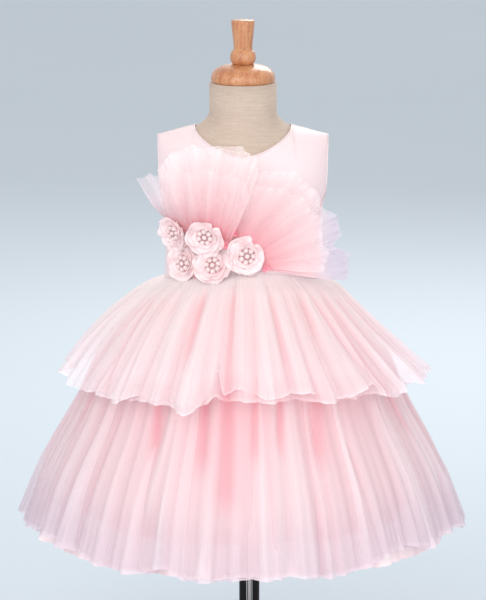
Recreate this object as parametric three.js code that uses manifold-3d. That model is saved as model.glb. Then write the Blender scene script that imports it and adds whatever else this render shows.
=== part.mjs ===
// Toddler party dress: a sleeveless satin bodice, a two-tier gathered net skirt, fans of pleated net and
// five bead-centred flowers, on a limbless child's dress form with a turned wooden cap and a pole stand.
// Millimetres, +Z up, the front faces -Y. The origin is on the floor, under the middle of the skirt.

import * as THREE from "three";
import { mergeVertices } from "three/addons/utils/BufferGeometryUtils.js";
import Module from "manifold-3d";

const wasm = await Module();
wasm.setup();

// Driving heights
const WAIST_Z = 541;
const WAIST_FRONT_RISE = 18;
const UNDERARM_Z = 623;
const CHEST_Z = 655;
const NECK_POINT_Z = 731.6;
const NECK_TOP_Z = 784;

// Bodice cut: half widths and depths of the cloth's outer face
const NECK_HALF_WIDTH = 60.5;
const SHOULDER_HALF_WIDTH = 105;
const SHOULDER_SLOPE = 0.26;
const FRONT_NECK_DROP = 32;
const BACK_NECK_DROP = 14;
const NECKLINE_POWER = 1.45;
const BODICE_SECTIONS = [
  { z: 541, side: 97.5, front: 78, back: 62 },
  { z: 580, side: 96.5, front: 77, back: 62 },
  { z: 623, side: 98, front: 75.5, back: 64.5 },
  { z: 655, side: 108, front: 75, back: 66 },
];

// Wall thicknesses and gaps
const SATIN = 1.5;
const NET = 1.2;
const SEAM_GAP = 0.3;
const SEAM_CLEAR = 0.02; // radians from a skirt's side seam to its first crease

// Where a bodice column's top edge lies: neckline, shoulder seam or armhole, by its share of the half front
const NECK_SHARE = 0.46;
const SHOULDER_SHARE = 0.76;
const CHEST_SHARE = 0.55;

// Zip in the centre back
const ZIP_HALF_WIDTH = 3.2;
const ZIP_THICKNESS = 1.3;
const ZIP_ROWS = 10;
const ZIP_TOP_Z = 715;
const SLIDER_Z = 700;

const DEGREE = Math.PI / 180;
const clamp = THREE.MathUtils.clamp;
const lerp = THREE.MathUtils.lerp;
const smooth = (x) => THREE.MathUtils.smoothstep(x, 0, 1);

// Reads a table's column between its rows, which are in rising order of the key column.
function between(table, key, value, column) {
  const upper = table.findIndex((row) => row[key] >= value);
  if (upper === 0) return table[0][column];
  if (upper < 0) return table[table.length - 1][column];
  const low = table[upper - 1];
  const high = table[upper];
  return lerp(low[column], high[column], (value - low[key]) / (high[key] - low[key]));
}

const material = (color, roughness, metalness = 0) =>
  new THREE.MeshStandardMaterial({ color, roughness, metalness });

const FINISH = {
  satin: material(0xfbe3e6, 0.45),
  net: material(0xfbd3da, 0.85),
  lining: material(0xf9c3cb, 0.6),
  petal: material(0xfbe6e6, 0.6),
  pearl: material(0xf8e3e4, 0.22),
  linen: material(0xded0c4, 0.9),
  wood: material(0xc98552, 0.4),
  blackMetal: material(0x14120f, 0.3, 0.6),
  paleMetal: material(0xd6d0cb, 0.35, 0.8),
  zip: material(0xf3c9d0, 0.5),
};

const dress = new THREE.Group();

function add(name, geometry, finish, parent = dress) {
  const mesh = new THREE.Mesh(geometry, finish);
  mesh.name = name;
  parent.add(mesh);
  return mesh;
}

// A closed wall of cloth. place(i, j) gives the outer face's points, with i across (turning to the outside's
// right) and j upwards; the inner face lies one thickness behind it. keep() holds points to their own side of
// a seam.
function wall(across, up, place, thickness, { keep = (point) => point } = {}) {
  const columns = across + 1;
  const outer = [];
  for (let i = 0; i < columns; i++)
    for (let j = 0; j <= up; j++) outer.push(keep(place(i, j)));
  const at = (i, j) => outer[clamp(i, 0, across) * (up + 1) + clamp(j, 0, up)];
  const inner = [];
  for (let i = 0; i < columns; i++)
    for (let j = 0; j <= up; j++) {
      const alongColumns = at(i + 1, j).clone().sub(at(i - 1, j));
      const alongRows = at(i, j + 1).clone().sub(at(i, j - 1));
      const normal = alongColumns.cross(alongRows).normalize();
      inner.push(keep(at(i, j).clone().addScaledVector(normal, -thickness)));
    }
  const half = outer.length;
  const index = [];
  const quad = (a, b, c, d) => index.push(a, b, c, a, c, d);
  const id = (i, j) => i * (up + 1) + j;
  for (let i = 0; i < across; i++) {
    for (let j = 0; j < up; j++) {
      quad(id(i, j), id(i + 1, j), id(i + 1, j + 1), id(i, j + 1));
      quad(half + id(i, j), half + id(i, j + 1), half + id(i + 1, j + 1), half + id(i + 1, j));
    }
    quad(id(i, 0), half + id(i, 0), half + id(i + 1, 0), id(i + 1, 0));
    quad(id(i, up), id(i + 1, up), half + id(i + 1, up), half + id(i, up));
  }
  for (let j = 0; j < up; j++) {
    quad(id(0, j), id(0, j + 1), half + id(0, j + 1), half + id(0, j));
    quad(id(across, j), half + id(across, j), half + id(across, j + 1), id(across, j + 1));
  }
  const geometry = new THREE.BufferGeometry().setFromPoints([...outer, ...inner]);
  geometry.setIndex(index);
  return geometry;
}

// The waist seam's height: it rises over the front of the body. angle is 0 at the front, 90 degrees at +X.
const waistZ = (angle) => WAIST_Z + WAIST_FRONT_RISE * Math.max(0, Math.cos(angle)) ** 2;

// The shoulder seam's height at a distance from the middle.
const shoulderZ = (x) => NECK_POINT_Z - (Math.abs(x) - NECK_HALF_WIDTH) * SHOULDER_SLOPE;

// The neckline's height: a rounded curve from neck point to neck point.
function neckZ(x, drop) {
  const share = Math.min(1, Math.abs(x) / NECK_HALF_WIDTH) ** NECKLINE_POWER;
  return shoulderZ(NECK_HALF_WIDTH) - drop * (1 - share) ** (1 / NECKLINE_POWER);
}

// How deep the bodice's outer face lies in front of, or behind, the middle plane.
function bodiceDepth(x, z, face) {
  const side = between(BODICE_SECTIONS, "z", z, "side");
  const depth = between(BODICE_SECTIONS, "z", z, face);
  const round = depth * Math.sqrt(Math.max(0, 1 - (x / side) ** 2));
  if (z <= CHEST_Z) return round;
  const climb = clamp((z - CHEST_Z) / (shoulderZ(x) - CHEST_Z), 0, 1);
  return round * Math.sqrt(1 - climb * climb);
}

// The armhole's edge from the shoulder tip (share 0) to the underarm (share 1): half width and height.
const ARMHOLE = [
  { share: 0, x: SHOULDER_HALF_WIDTH, z: shoulderZ(SHOULDER_HALF_WIDTH) },
  { share: 0.25, x: 105.2, z: 700 },
  { share: 0.5, x: 103, z: 672 },
  { share: 0.75, x: 99.5, z: 646 },
  { share: 1, x: 98, z: UNDERARM_Z },
];

// The upper end of a bodice column, by its share of the way from the middle to the side seam.
function bodiceTop(share, drop) {
  if (share <= NECK_SHARE) {
    const x = (NECK_HALF_WIDTH * share) / NECK_SHARE;
    return { x, z: neckZ(x, drop) };
  }
  if (share <= SHOULDER_SHARE) {
    const along = (share - NECK_SHARE) / (SHOULDER_SHARE - NECK_SHARE);
    const x = lerp(NECK_HALF_WIDTH, SHOULDER_HALF_WIDTH, along);
    return { x, z: shoulderZ(x) };
  }
  const along = (share - SHOULDER_SHARE) / (1 - SHOULDER_SHARE);
  return { x: between(ARMHOLE, "share", along, "x"), z: between(ARMHOLE, "share", along, "z") };
}

// A point of the bodice: share runs from the middle to the side seam, up from the waist to the top edge.
function bodicePoint(share, up, face) {
  const front = face === "front";
  const angle = (share * Math.PI) / 2;
  const hem = { x: BODICE_SECTIONS[0].side * Math.sin(angle), z: front ? waistZ(angle) : WAIST_Z };
  const top = bodiceTop(share, front ? FRONT_NECK_DROP : BACK_NECK_DROP);
  const bend = Math.min(CHEST_Z, top.z);
  let z;
  let x;
  if (up <= CHEST_SHARE || top.z <= CHEST_Z) {
    const climb = top.z <= CHEST_Z ? up : up / CHEST_SHARE;
    z = lerp(hem.z, bend, climb);
    x = lerp(hem.x, top.x, (z - hem.z) / (top.z - hem.z));
    return new THREE.Vector3(x, bodiceDepth(x, z, face), z);
  }
  const turnShare = (up - CHEST_SHARE) / (1 - CHEST_SHARE);
  const bendX = lerp(hem.x, top.x, (CHEST_Z - hem.z) / (top.z - hem.z));
  x = lerp(bendX, top.x, turnShare);
  const crown = shoulderZ(x);
  const topTurn = Math.asin(clamp((top.z - CHEST_Z) / (shoulderZ(top.x) - CHEST_Z), 0, 1));
  const turn = topTurn * turnShare;
  z = CHEST_Z + (crown - CHEST_Z) * Math.sin(turn);
  return new THREE.Vector3(x, bodiceDepth(x, z, face), z);
}

const BACK_EDGE_SHARE = 0.055;
const EDGE_REACH = 6;
const SHARE_STEPS = [0, 0.12, 0.24, 0.36, NECK_SHARE, 0.61, SHOULDER_SHARE, 0.82, 0.88, 0.94, 1];
const BODICE_ROWS = 8;

// Front of the bodice: one piece from side seam to side seam.
function frontBodice() {
  const shares = [...SHARE_STEPS.slice(1).reverse().map((share) => -share), ...SHARE_STEPS];
  const place = (i, j) => {
    const point = bodicePoint(Math.abs(shares[i]), j / BODICE_ROWS, "front");
    return new THREE.Vector3(Math.sign(shares[i]) * point.x, -point.y, point.z);
  };
  const keep = (point) => {
    point.y = Math.min(point.y, -SEAM_GAP / 2);
    return point;
  };
  return wall(shares.length - 1, BODICE_ROWS, place, SATIN, { keep });
}

// Half of the back, from the zip to the side seam. hand is 1 on the +X side and -1 on the other. Its points
// nearest the zip are drawn to a straight edge beside the tape.
function backBodice(hand) {
  const shares = [BACK_EDGE_SHARE, ...SHARE_STEPS.slice(1)];
  const count = shares.length - 1;
  const place = (i, j) => {
    const share = hand > 0 ? shares[count - i] : shares[i];
    const point = bodicePoint(share, j / BODICE_ROWS, "back");
    return new THREE.Vector3(hand * point.x, point.y, point.z);
  };
  const keep = (point) => {
    point.y = Math.max(point.y, SEAM_GAP / 2);
    const edge = ZIP_HALF_WIDTH + SEAM_GAP;
    if (Math.abs(point.x) < edge + EDGE_REACH) point.x = hand * edge;
    return point;
  };
  return wall(count, BODICE_ROWS, place, SATIN, { keep });
}

// Zip tape and coil: a narrow strip between the two halves of the back.
function zipStrip() {
  const place = (i, j) => {
    const z = lerp(WAIST_Z + SEAM_GAP, ZIP_TOP_Z, j / ZIP_ROWS);
    return new THREE.Vector3(i ? -ZIP_HALF_WIDTH : ZIP_HALF_WIDTH, bodiceDepth(0, z, "back"), z);
  };
  return wall(1, ZIP_ROWS, place, ZIP_THICKNESS);
}

add("bodice_front", frontBodice(), FINISH.satin);
add("bodice_back_left", backBodice(-1), FINISH.satin);
add("bodice_back_right", backBodice(1), FINISH.satin);
add("back_zip", zipStrip(), FINISH.zip);

// Folds of a gathered ring of net, each a ridge and a valley. Their phase runs unevenly round the skirt, so
// that no two are alike.
function foldsOf(count, seed) {
  const drift = (angle) => 2 * Math.sin(3 * angle + seed) + 1.2 * Math.sin(5 * angle + 2 * seed);
  const phase = (angle) => count * angle + drift(angle);
  const depth = (angle) => 1 + 0.3 * Math.sin(4 * angle + 1.3 * seed) + 0.2 * Math.sin(9 * angle + seed);
  const angles = [];
  const creases = 2 * count;
  const start = phase(0);
  for (let k = 0; k < creases; k++) {
    const wanted = start + k * Math.PI;
    let low = 0;
    let high = 2 * Math.PI;
    for (let step = 0; step < 40; step++) {
      const middle = (low + high) / 2;
      if (phase(middle) < wanted) low = middle;
      else high = middle;
    }
    angles.push((low + high) / 2);
  }
  return { angles, wave: (k) => (k % 2 ? -1 : 1) * depth(angles[k]) };
}

// The crease columns of a tier's front or back, from side seam to side seam. A seam lies between two creases,
// so its wave is read between theirs.
function halfOf({ angles, wave }, face) {
  const start = (face === "front" ? -1 : 1) * (Math.PI / 2);
  const creases = angles
    .map((angle, k) => ({ turn: THREE.MathUtils.euclideanModulo(angle - start, 2 * Math.PI), wave: wave(k) }))
    .sort((a, b) => a.turn - b.turn);
  const last = creases[creases.length - 1];
  const round = [{ turn: last.turn - 2 * Math.PI, wave: last.wave }, ...creases];
  const seam = (turn) => ({ turn, wave: between(round, "turn", turn, "wave") });
  const inside = creases.filter(({ turn }) => turn > SEAM_CLEAR && turn < Math.PI - SEAM_CLEAR);
  return [seam(0), ...inside, seam(Math.PI)].map((column) => ({ angle: start + column.turn, wave: column.wave }));
}

// How far a hem hangs above or below its mean height.
const unevenness = (angle) =>
  Math.sin(5 * angle + 1) + 0.7 * Math.sin(11 * angle) + 0.5 * Math.sin(23 * angle + 2);

// The front or back half of a gathered tier. Each ring row gives its drop below the waist, its mean reach to the
// side, front and back, the height of its folds, and how much of the front waist's rise it keeps. ragged is the
// hem's unevenness.
function halfTier(rings, folds, face, ragged) {
  const up = rings.length - 1;
  const columns = halfOf(folds, face);
  const place = (i, j) => {
    const ring = rings[up - j];
    const { angle, wave } = columns[i];
    const forward = Math.cos(angle);
    const fold = ring.fold * wave;
    const deep = (forward > 0 ? ring.front : ring.back) + fold;
    const rise = (waistZ(angle) - WAIST_Z) * ring.rise + (j ? 0 : ragged * unevenness(angle));
    const wide = ring.side + fold;
    return new THREE.Vector3(wide * Math.sin(angle), -deep * forward, WAIST_Z + rise - ring.drop);
  };
  const forward = face === "front" ? -1 : 1;
  const keep = (point) => {
    point.y = forward * Math.max(forward * point.y, SEAM_GAP / 2);
    return point;
  };
  return wall(columns.length - 1, up, place, NET, { keep });
}

// Adds a tier's two halves. A centred tier is shifted a hair's breadth, so that its reach is the same on
// opposite sides.
function addTier(name, rings, folds, finish, { ragged = 0, centred = false } = {}) {
  const halves = ["front", "back"].map((face) => ({ face, geometry: halfTier(rings, folds, face, ragged) }));
  const box = new THREE.Box3();
  for (const { geometry } of halves) {
    geometry.computeBoundingBox();
    box.union(geometry.boundingBox);
  }
  const middle = box.getCenter(new THREE.Vector3());
  for (const { face, geometry } of halves) {
    if (centred) geometry.translate(-middle.x, -middle.y, 0);
    add(name + "_" + face, geometry, finish);
  }
}

const UPPER_TIER = [
  { drop: 0.4, side: 97.5, front: 78, back: 62, fold: 0, rise: 1 },
  { drop: 9, side: 117, front: 99, back: 85, fold: 2.6, rise: 0.95 },
  { drop: 30, side: 145, front: 133, back: 125, fold: 4.5, rise: 0.85 },
  { drop: 68, side: 184, front: 178, back: 174, fold: 6, rise: 0.7 },
  { drop: 119, side: 226, front: 225, back: 224, fold: 8, rise: 0.55 },
];
const LOWER_TIER = [
  { drop: 2.1, side: 96.4, front: 76.9, back: 60.9, fold: 0, rise: 1 },
  { drop: 32, side: 126, front: 112, back: 103, fold: 3, rise: 0.85 },
  { drop: 91, side: 179, front: 173, back: 168, fold: 4.5, rise: 0.6 },
  { drop: 150, side: 204, front: 202, back: 200, fold: 6, rise: 0.4 },
  { drop: 232, side: 247, front: 246, back: 246, fold: 7, rise: 0.2 },
  { drop: 311, side: 276, front: 276, back: 276, fold: 8, rise: 0 },
];
const UNDER_NET = [
  { drop: 3.7, side: 94.7, front: 75.2, back: 59.2, fold: 0, rise: 1 },
  { drop: 62, side: 140, front: 128, back: 122, fold: 2, rise: 0.7 },
  { drop: 152, side: 186, front: 184, back: 182, fold: 3, rise: 0.4 },
  { drop: 316, side: 262, front: 262, back: 262, fold: 3.5, rise: 0 },
];
const LINING = [
  { drop: 5.1, side: 93.2, front: 73.6, back: 57.6, fold: 0, rise: 1 },
  { drop: 62, side: 118, front: 106, back: 100, fold: 1, rise: 0.7 },
  { drop: 150, side: 152, front: 150, back: 148, fold: 2, rise: 0.4 },
  { drop: 290, side: 206, front: 206, back: 206, fold: 3, rise: 0 },
];
const UPPER_FOLDS = 50;
const LOWER_FOLDS = 54;
const UNDER_FOLDS = 28;
const LINING_FOLDS = 16;
const UPPER_RAGGED = 3;
const LOWER_RAGGED = 2;

addTier("skirt_tier_upper", UPPER_TIER, foldsOf(UPPER_FOLDS, 0.7), FINISH.net, { ragged: UPPER_RAGGED });
addTier("skirt_tier_lower", LOWER_TIER, foldsOf(LOWER_FOLDS, 2.1), FINISH.net, {
  ragged: LOWER_RAGGED,
  centred: true,
});
addTier("skirt_under_net", UNDER_NET, foldsOf(UNDER_FOLDS, 3.6), FINISH.net);
addTier("skirt_lining", LINING, foldsOf(LINING_FOLDS, 5.2), FINISH.lining);

// Fans of pleated net on the front. Each is gathered along a short base line and opens out to its wavy edge.
// The edge's rows run clockwise, as seen from the front; lift is the height over the bodice.
const FANS = {
  fan_right_back: {
    base: { from: { x: -3, z: 605 }, to: { x: 29, z: 563 } },
    lift: { base: 2.2, edge: 8 },
    pleats: 13,
    pleat: 4,
    edge: [
      { x: 12, z: 679 },
      { x: 32, z: 685 },
      { x: 52, z: 685 },
      { x: 70, z: 675 },
      { x: 84, z: 660 },
      { x: 98, z: 637 },
      { x: 113, z: 622 },
      { x: 117, z: 603 },
      { x: 110, z: 590 },
      { x: 125, z: 579 },
      { x: 129, z: 562 },
      { x: 126, z: 545 },
    ],
  },
  fan_right_front: {
    base: { from: { x: -2, z: 601 }, to: { x: 26, z: 566 } },
    lift: { base: 4.1, edge: 18 },
    pleats: 10,
    pleat: 4.5,
    edge: [
      { x: 9, z: 661 },
      { x: 27, z: 667 },
      { x: 47, z: 664 },
      { x: 66, z: 656 },
      { x: 80, z: 640 },
      { x: 93, z: 622 },
      { x: 96, z: 600 },
      { x: 101, z: 580 },
      { x: 97, z: 561 },
    ],
  },
  fan_left_back: {
    base: { from: { x: -78, z: 609 }, to: { x: -13, z: 600 } },
    lift: { base: 2.2, edge: 16.5 },
    pleats: 12,
    pleat: 4.5,
    edge: [
      { x: -103, z: 683 },
      { x: -93, z: 699 },
      { x: -73, z: 711 },
      { x: -54, z: 715 },
      { x: -35, z: 714 },
      { x: -17, z: 717 },
      { x: 1, z: 712 },
      { x: 13, z: 704 },
      { x: 19, z: 688 },
    ],
  },
  fan_left_front: {
    base: { from: { x: -90, z: 609 }, to: { x: -16, z: 597 } },
    lift: { base: 4.2, edge: 29 },
    pleats: 13,
    pleat: 5,
    edge: [
      { x: -129, z: 672 },
      { x: -114, z: 679 },
      { x: -97, z: 681 },
      { x: -79, z: 687 },
      { x: -62, z: 684 },
      { x: -45, z: 690 },
      { x: -28, z: 685 },
      { x: -12, z: 683 },
      { x: 2, z: 673 },
      { x: 8, z: 658 },
    ],
  },
};
const FAN_ROWS = 4;
const FAN_SPREAD = { side: 140, front: 82 };

// How far in front of the middle plane a fan's cloth lies: on the bodice at its base, and on a wider, flatter
// curve that runs on past the body's sides at its edge.
function fanDepth(x, z, open) {
  const near = bodiceDepth(Math.min(Math.abs(x), BODICE_SECTIONS[0].side - 1), Math.min(z, CHEST_Z), "front");
  const far = FAN_SPREAD.front * Math.sqrt(Math.max(0, 1 - (x / FAN_SPREAD.side) ** 2));
  return Math.max(near, lerp(near, far, smooth(open * 1.6)));
}

// A place along rows that are spread evenly, from share 0 to 1.
function along(rows, share, column) {
  const reach = clamp(share, 0, 1) * (rows.length - 1);
  const row = Math.min(Math.floor(reach), rows.length - 2);
  return lerp(rows[row][column], rows[row + 1][column], reach - row);
}

function fan({ base, lift, pleats, pleat, edge }) {
  const across = 2 * pleats;
  const place = (i, j) => {
    const share = i / across;
    const open = j / FAN_ROWS;
    const x = lerp(lerp(base.from.x, base.to.x, share), along(edge, share, "x"), open);
    const z = lerp(lerp(base.from.z, base.to.z, share), along(edge, share, "z"), open);
    const fold = i % 2 ? 0 : pleat * open;
    return new THREE.Vector3(x, -fanDepth(x, z, open) - lerp(lift.base, lift.edge, open) - fold, z);
  };
  return wall(across, FAN_ROWS, place, NET);
}

for (const [name, rows] of Object.entries(FANS)) add(name, fan(rows), FINISH.net);

// Flowers on the waist: where each one sits on the bodice's front, how far it stands off, and its turn.
const FLOWERS = [
  { name: "flower_1", x: -78, z: 607, off: 5.9, yaw: -47, pitch: 12, roll: 10 },
  { name: "flower_2", x: -43, z: 607, off: 7.6, yaw: -18, pitch: 12, roll: 40 },
  { name: "flower_3", x: -71, z: 567, off: -0.2, yaw: -41, pitch: -6, roll: 64 },
  { name: "flower_4", x: -35, z: 565, off: 4.6, yaw: -15, pitch: -27, roll: 22 },
  { name: "flower_5", x: 4, z: 582, off: 4.1, yaw: 6, pitch: 0, roll: 0 },
];
const PETALS = 5;
const PETAL_REACH = 19.5;
const PETAL_NOTCH = 0.3;
const FLOWER_CUP = 5;
const PEARL_RADIUS = 3.15;
const PEARL_RING = 7.3;
const OUTER_PEARLS = 7;
const PEARL_BACK = 1.6;
const PEARL_SEAT = 1.1;

// Five petals cut in one shallow cup, with the open side along +Z.
function petals() {
  const segments = 4 * PETALS;
  const rings = [0.35, 0.7, 1];
  const points = [];
  const surface = (level) => {
    points.push(new THREE.Vector3(0, 0, level));
    for (const ring of rings)
      for (let k = 0; k < segments; k++) {
        const turn = (k / segments) * 2 * Math.PI;
        const petal = Math.abs(Math.cos((turn * PETALS) / 2)) ** 0.8;
        const reach = PETAL_REACH * ring * (1 - PETAL_NOTCH * ring * (1 - petal));
        const height = level + FLOWER_CUP * ring * ring;
        points.push(new THREE.Vector3(reach * Math.cos(turn), reach * Math.sin(turn), height));
      }
  };
  surface(NET);
  surface(0);
  const half = 1 + rings.length * segments;
  const index = [];
  const spot = (ring, k) => 1 + ring * segments + (k % segments);
  for (let k = 0; k < segments; k++) {
    index.push(0, spot(0, k), spot(0, k + 1));
    index.push(half, half + spot(0, k + 1), half + spot(0, k));
    for (let ring = 0; ring < rings.length - 1; ring++) {
      const [a, b, c, d] = [spot(ring, k), spot(ring + 1, k), spot(ring + 1, k + 1), spot(ring, k + 1)];
      index.push(a, b, c, a, c, d);
      index.push(half + a, half + c, half + b, half + a, half + d, half + c);
    }
    const [rim, next] = [spot(rings.length - 1, k), spot(rings.length - 1, k + 1)];
    index.push(rim, half + rim, half + next, rim, half + next, next);
  }
  const geometry = new THREE.BufferGeometry().setFromPoints(points);
  geometry.setIndex(index);
  return geometry;
}

// A closed mesh as a manifold-3d solid, and back.
function solidOf(geometry) {
  const bare = geometry.clone();
  bare.deleteAttribute("normal");
  bare.deleteAttribute("uv");
  const merged = mergeVertices(bare, 1e-4);
  return new wasm.Manifold(
    new wasm.Mesh({
      numProp: 3,
      vertProperties: merged.attributes.position.array,
      triVerts: new Uint32Array(merged.index.array),
    }),
  );
}

function geometryOf(solid) {
  const mesh = solid.getMesh();
  const geometry = new THREE.BufferGeometry();
  geometry.setAttribute("position", new THREE.BufferAttribute(new Float32Array(mesh.vertProperties), 3));
  geometry.setIndex(new THREE.BufferAttribute(new Uint32Array(mesh.triVerts), 1));
  return geometry;
}

// A bead cluster: one pearl in the middle, a ring of pearls around it, and the round back they are glued to.
function pearls() {
  const back = new THREE.CylinderGeometry(PEARL_RING, PEARL_RING - 1, PEARL_BACK, 2 * OUTER_PEARLS);
  back.rotateX(Math.PI / 2);
  back.translate(0, 0, PEARL_BACK / 2);
  let cluster = solidOf(back);
  for (let k = 0; k <= OUTER_PEARLS; k++) {
    const turn = (k / OUTER_PEARLS) * 2 * Math.PI;
    const ring = k === OUTER_PEARLS ? 0 : PEARL_RING;
    const pearl = new THREE.OctahedronGeometry(PEARL_RADIUS, 1);
    pearl.translate(ring * Math.cos(turn), ring * Math.sin(turn), PEARL_RADIUS + (ring ? 0.2 : 0.9));
    cluster = cluster.add(solidOf(pearl));
  }
  return geometryOf(cluster);
}

for (const { name, x, z, off, yaw, pitch, roll } of FLOWERS) {
  const flower = new THREE.Group();
  flower.position.set(x, -bodiceDepth(x, z, "front"), z);
  flower.rotation.order = "ZXY";
  flower.rotation.set((90 + pitch) * DEGREE, 0, yaw * DEGREE);
  const head = new THREE.Group();
  head.position.z = off;
  head.rotation.z = roll * DEGREE;
  flower.add(head);
  dress.add(flower);
  add(name, petals(), FINISH.petal, head);
  const beads = add(name + "_pearls", pearls(), FINISH.pearl, head);
  beads.position.z = NET + PEARL_SEAT;
}

// Zip slider with its bridge, and the pull tab that swings on it. Both are made at the back's own slope.
const SLIDER = { width: 6, length: 10, thickness: 2.2, bridge: 2, bridgeRise: 3.4, bridgeWall: 0.9 };
const PULL = { width: 5.6, length: 22, thickness: 1.1, bar: 1.1, slot: 6.5, arm: 1.1, pivotRise: 1.3 };

const sliderSeat = new THREE.Group();
const seatReach = SLIDER.length / 2;
const seatSlope = Math.atan2(
  bodiceDepth(0, SLIDER_Z - seatReach, "back") - bodiceDepth(0, SLIDER_Z + seatReach, "back"),
  2 * seatReach,
);
sliderSeat.position.set(0, bodiceDepth(0, SLIDER_Z, "back"), SLIDER_Z);
sliderSeat.rotation.x = seatSlope;
dress.add(sliderSeat);

// The slider in its own frame: +Y away from the cloth, +Z up the zip.
function slider() {
  const { width, length, thickness, bridge, bridgeRise, bridgeWall } = SLIDER;
  const body = new THREE.BoxGeometry(width, thickness, length);
  body.translate(0, thickness / 2 + SEAM_GAP, 0);
  let made = solidOf(body);
  const top = thickness + SEAM_GAP;
  for (const end of [-1, 1]) {
    const foot = new THREE.BoxGeometry(bridge, bridgeRise, bridgeWall);
    foot.translate(0, top + bridgeRise / 2 - 0.1, end * (length / 2 - bridgeWall));
    made = made.add(solidOf(foot));
  }
  const span = new THREE.BoxGeometry(bridge, bridgeWall, length - bridgeWall);
  span.translate(0, top + bridgeRise - bridgeWall / 2 - 0.1, 0);
  return geometryOf(made.add(solidOf(span)));
}

// The pull tab hanging from its cross bar, which lies under the slider's bridge at the pivot.
function pull() {
  const { width, length, thickness, bar, slot, arm } = PULL;
  const outline = new THREE.Shape();
  outline.moveTo(-width / 2, bar / 2);
  outline.lineTo(-width / 2, -length + width / 2);
  outline.absarc(0, -length + width / 2, width / 2, Math.PI, 2 * Math.PI, false);
  outline.lineTo(width / 2, bar / 2);
  const hole = new THREE.Path();
  hole.moveTo(-width / 2 + arm, -bar / 2);
  hole.lineTo(width / 2 - arm, -bar / 2);
  hole.lineTo(width / 2 - arm, -slot);
  hole.lineTo(-width / 2 + arm, -slot);
  outline.holes.push(hole);
  const tab = new THREE.ExtrudeGeometry(outline, { depth: thickness, bevelEnabled: false, curveSegments: 6 });
  tab.translate(0, 0, -thickness / 2);
  tab.rotateX(Math.PI / 2);
  return tab;
}

add("zip_slider", slider(), FINISH.zip, sliderSeat);
const pivot = new THREE.Group();
pivot.position.set(0, SEAM_GAP + SLIDER.thickness + PULL.pivotRise, 0);
sliderSeat.add(pivot);
add("zip_pull", pull(), FINISH.zip, pivot);

// Dress form: a smooth limbless body. From the waist to the neckline and shoulders it is the bodice's own
// surface, moved in: the cloth rests on its shoulders and stands free of its waist.
const SHOULDER_INSET = SATIN + 0.8;
const WAIST_INSET = 9;
const ARMHOLE_EASE = 1.2;
const ARMHOLE_EASE_SHARE = 0.06;
const FORM_HIPS = [
  { z: 396, side: 78, front: 54, back: 52 },
  { z: 400, side: 87, front: 63, back: 59 },
  { z: 430, side: 95, front: 70, back: 65 },
  { z: 480, side: 91, front: 70, back: 59 },
];
const NECK_RINGS = [
  { rise: 0.3, spread: 0.42 },
  { rise: 0.62, spread: 0.12 },
  { rise: 1, spread: 0 },
];
const NECK_BASE_Z = 752;
const NECK_RADIUS = 41.5;

// The form's arm ends lie deeper under the cloth than its shoulders do.
const armEase = (share) => ARMHOLE_EASE * smooth(Math.max(0, share - SHOULDER_SHARE) / ARMHOLE_EASE_SHARE);

// A point of the form under the bodice, by the same shares as the bodice's own points.
function formPoint(share, row, face) {
  const up = row / BODICE_ROWS;
  const point = bodicePoint(share, up, face);
  const inset = lerp(WAIST_INSET, SHOULDER_INSET + armEase(share), smooth(up / CHEST_SHARE));
  const step = 1e-3;
  const ahead = up < 0.5 ? step : -step;
  const aside = share < 0.5 ? step : -step;
  const alongUp = bodicePoint(share, up + ahead, face).sub(point).multiplyScalar(Math.sign(ahead));
  const alongSide = bodicePoint(share + aside, up, face).sub(point).multiplyScalar(Math.sign(aside));
  const inward = alongSide.cross(alongUp).normalize();
  if (inward.x * point.x + inward.y * point.y > 0) inward.negate();
  point.addScaledVector(inward, inset);
  if (share === 0) point.x = 0;
  if (share >= NECK_SHARE && share <= SHOULDER_SHARE && row === BODICE_ROWS) point.y = 0;
  if (share === 1) point.y = 0;
  return point;
}

// The middle of the form's arm end, level with the armhole's edge.
function armMiddle(share) {
  if (share === SHOULDER_SHARE || share === 1) return formPoint(share, BODICE_ROWS, "front");
  const { x, z } = bodiceTop(share, 0);
  return new THREE.Vector3(x - SHOULDER_INSET - armEase(share), 0, z);
}

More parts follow.
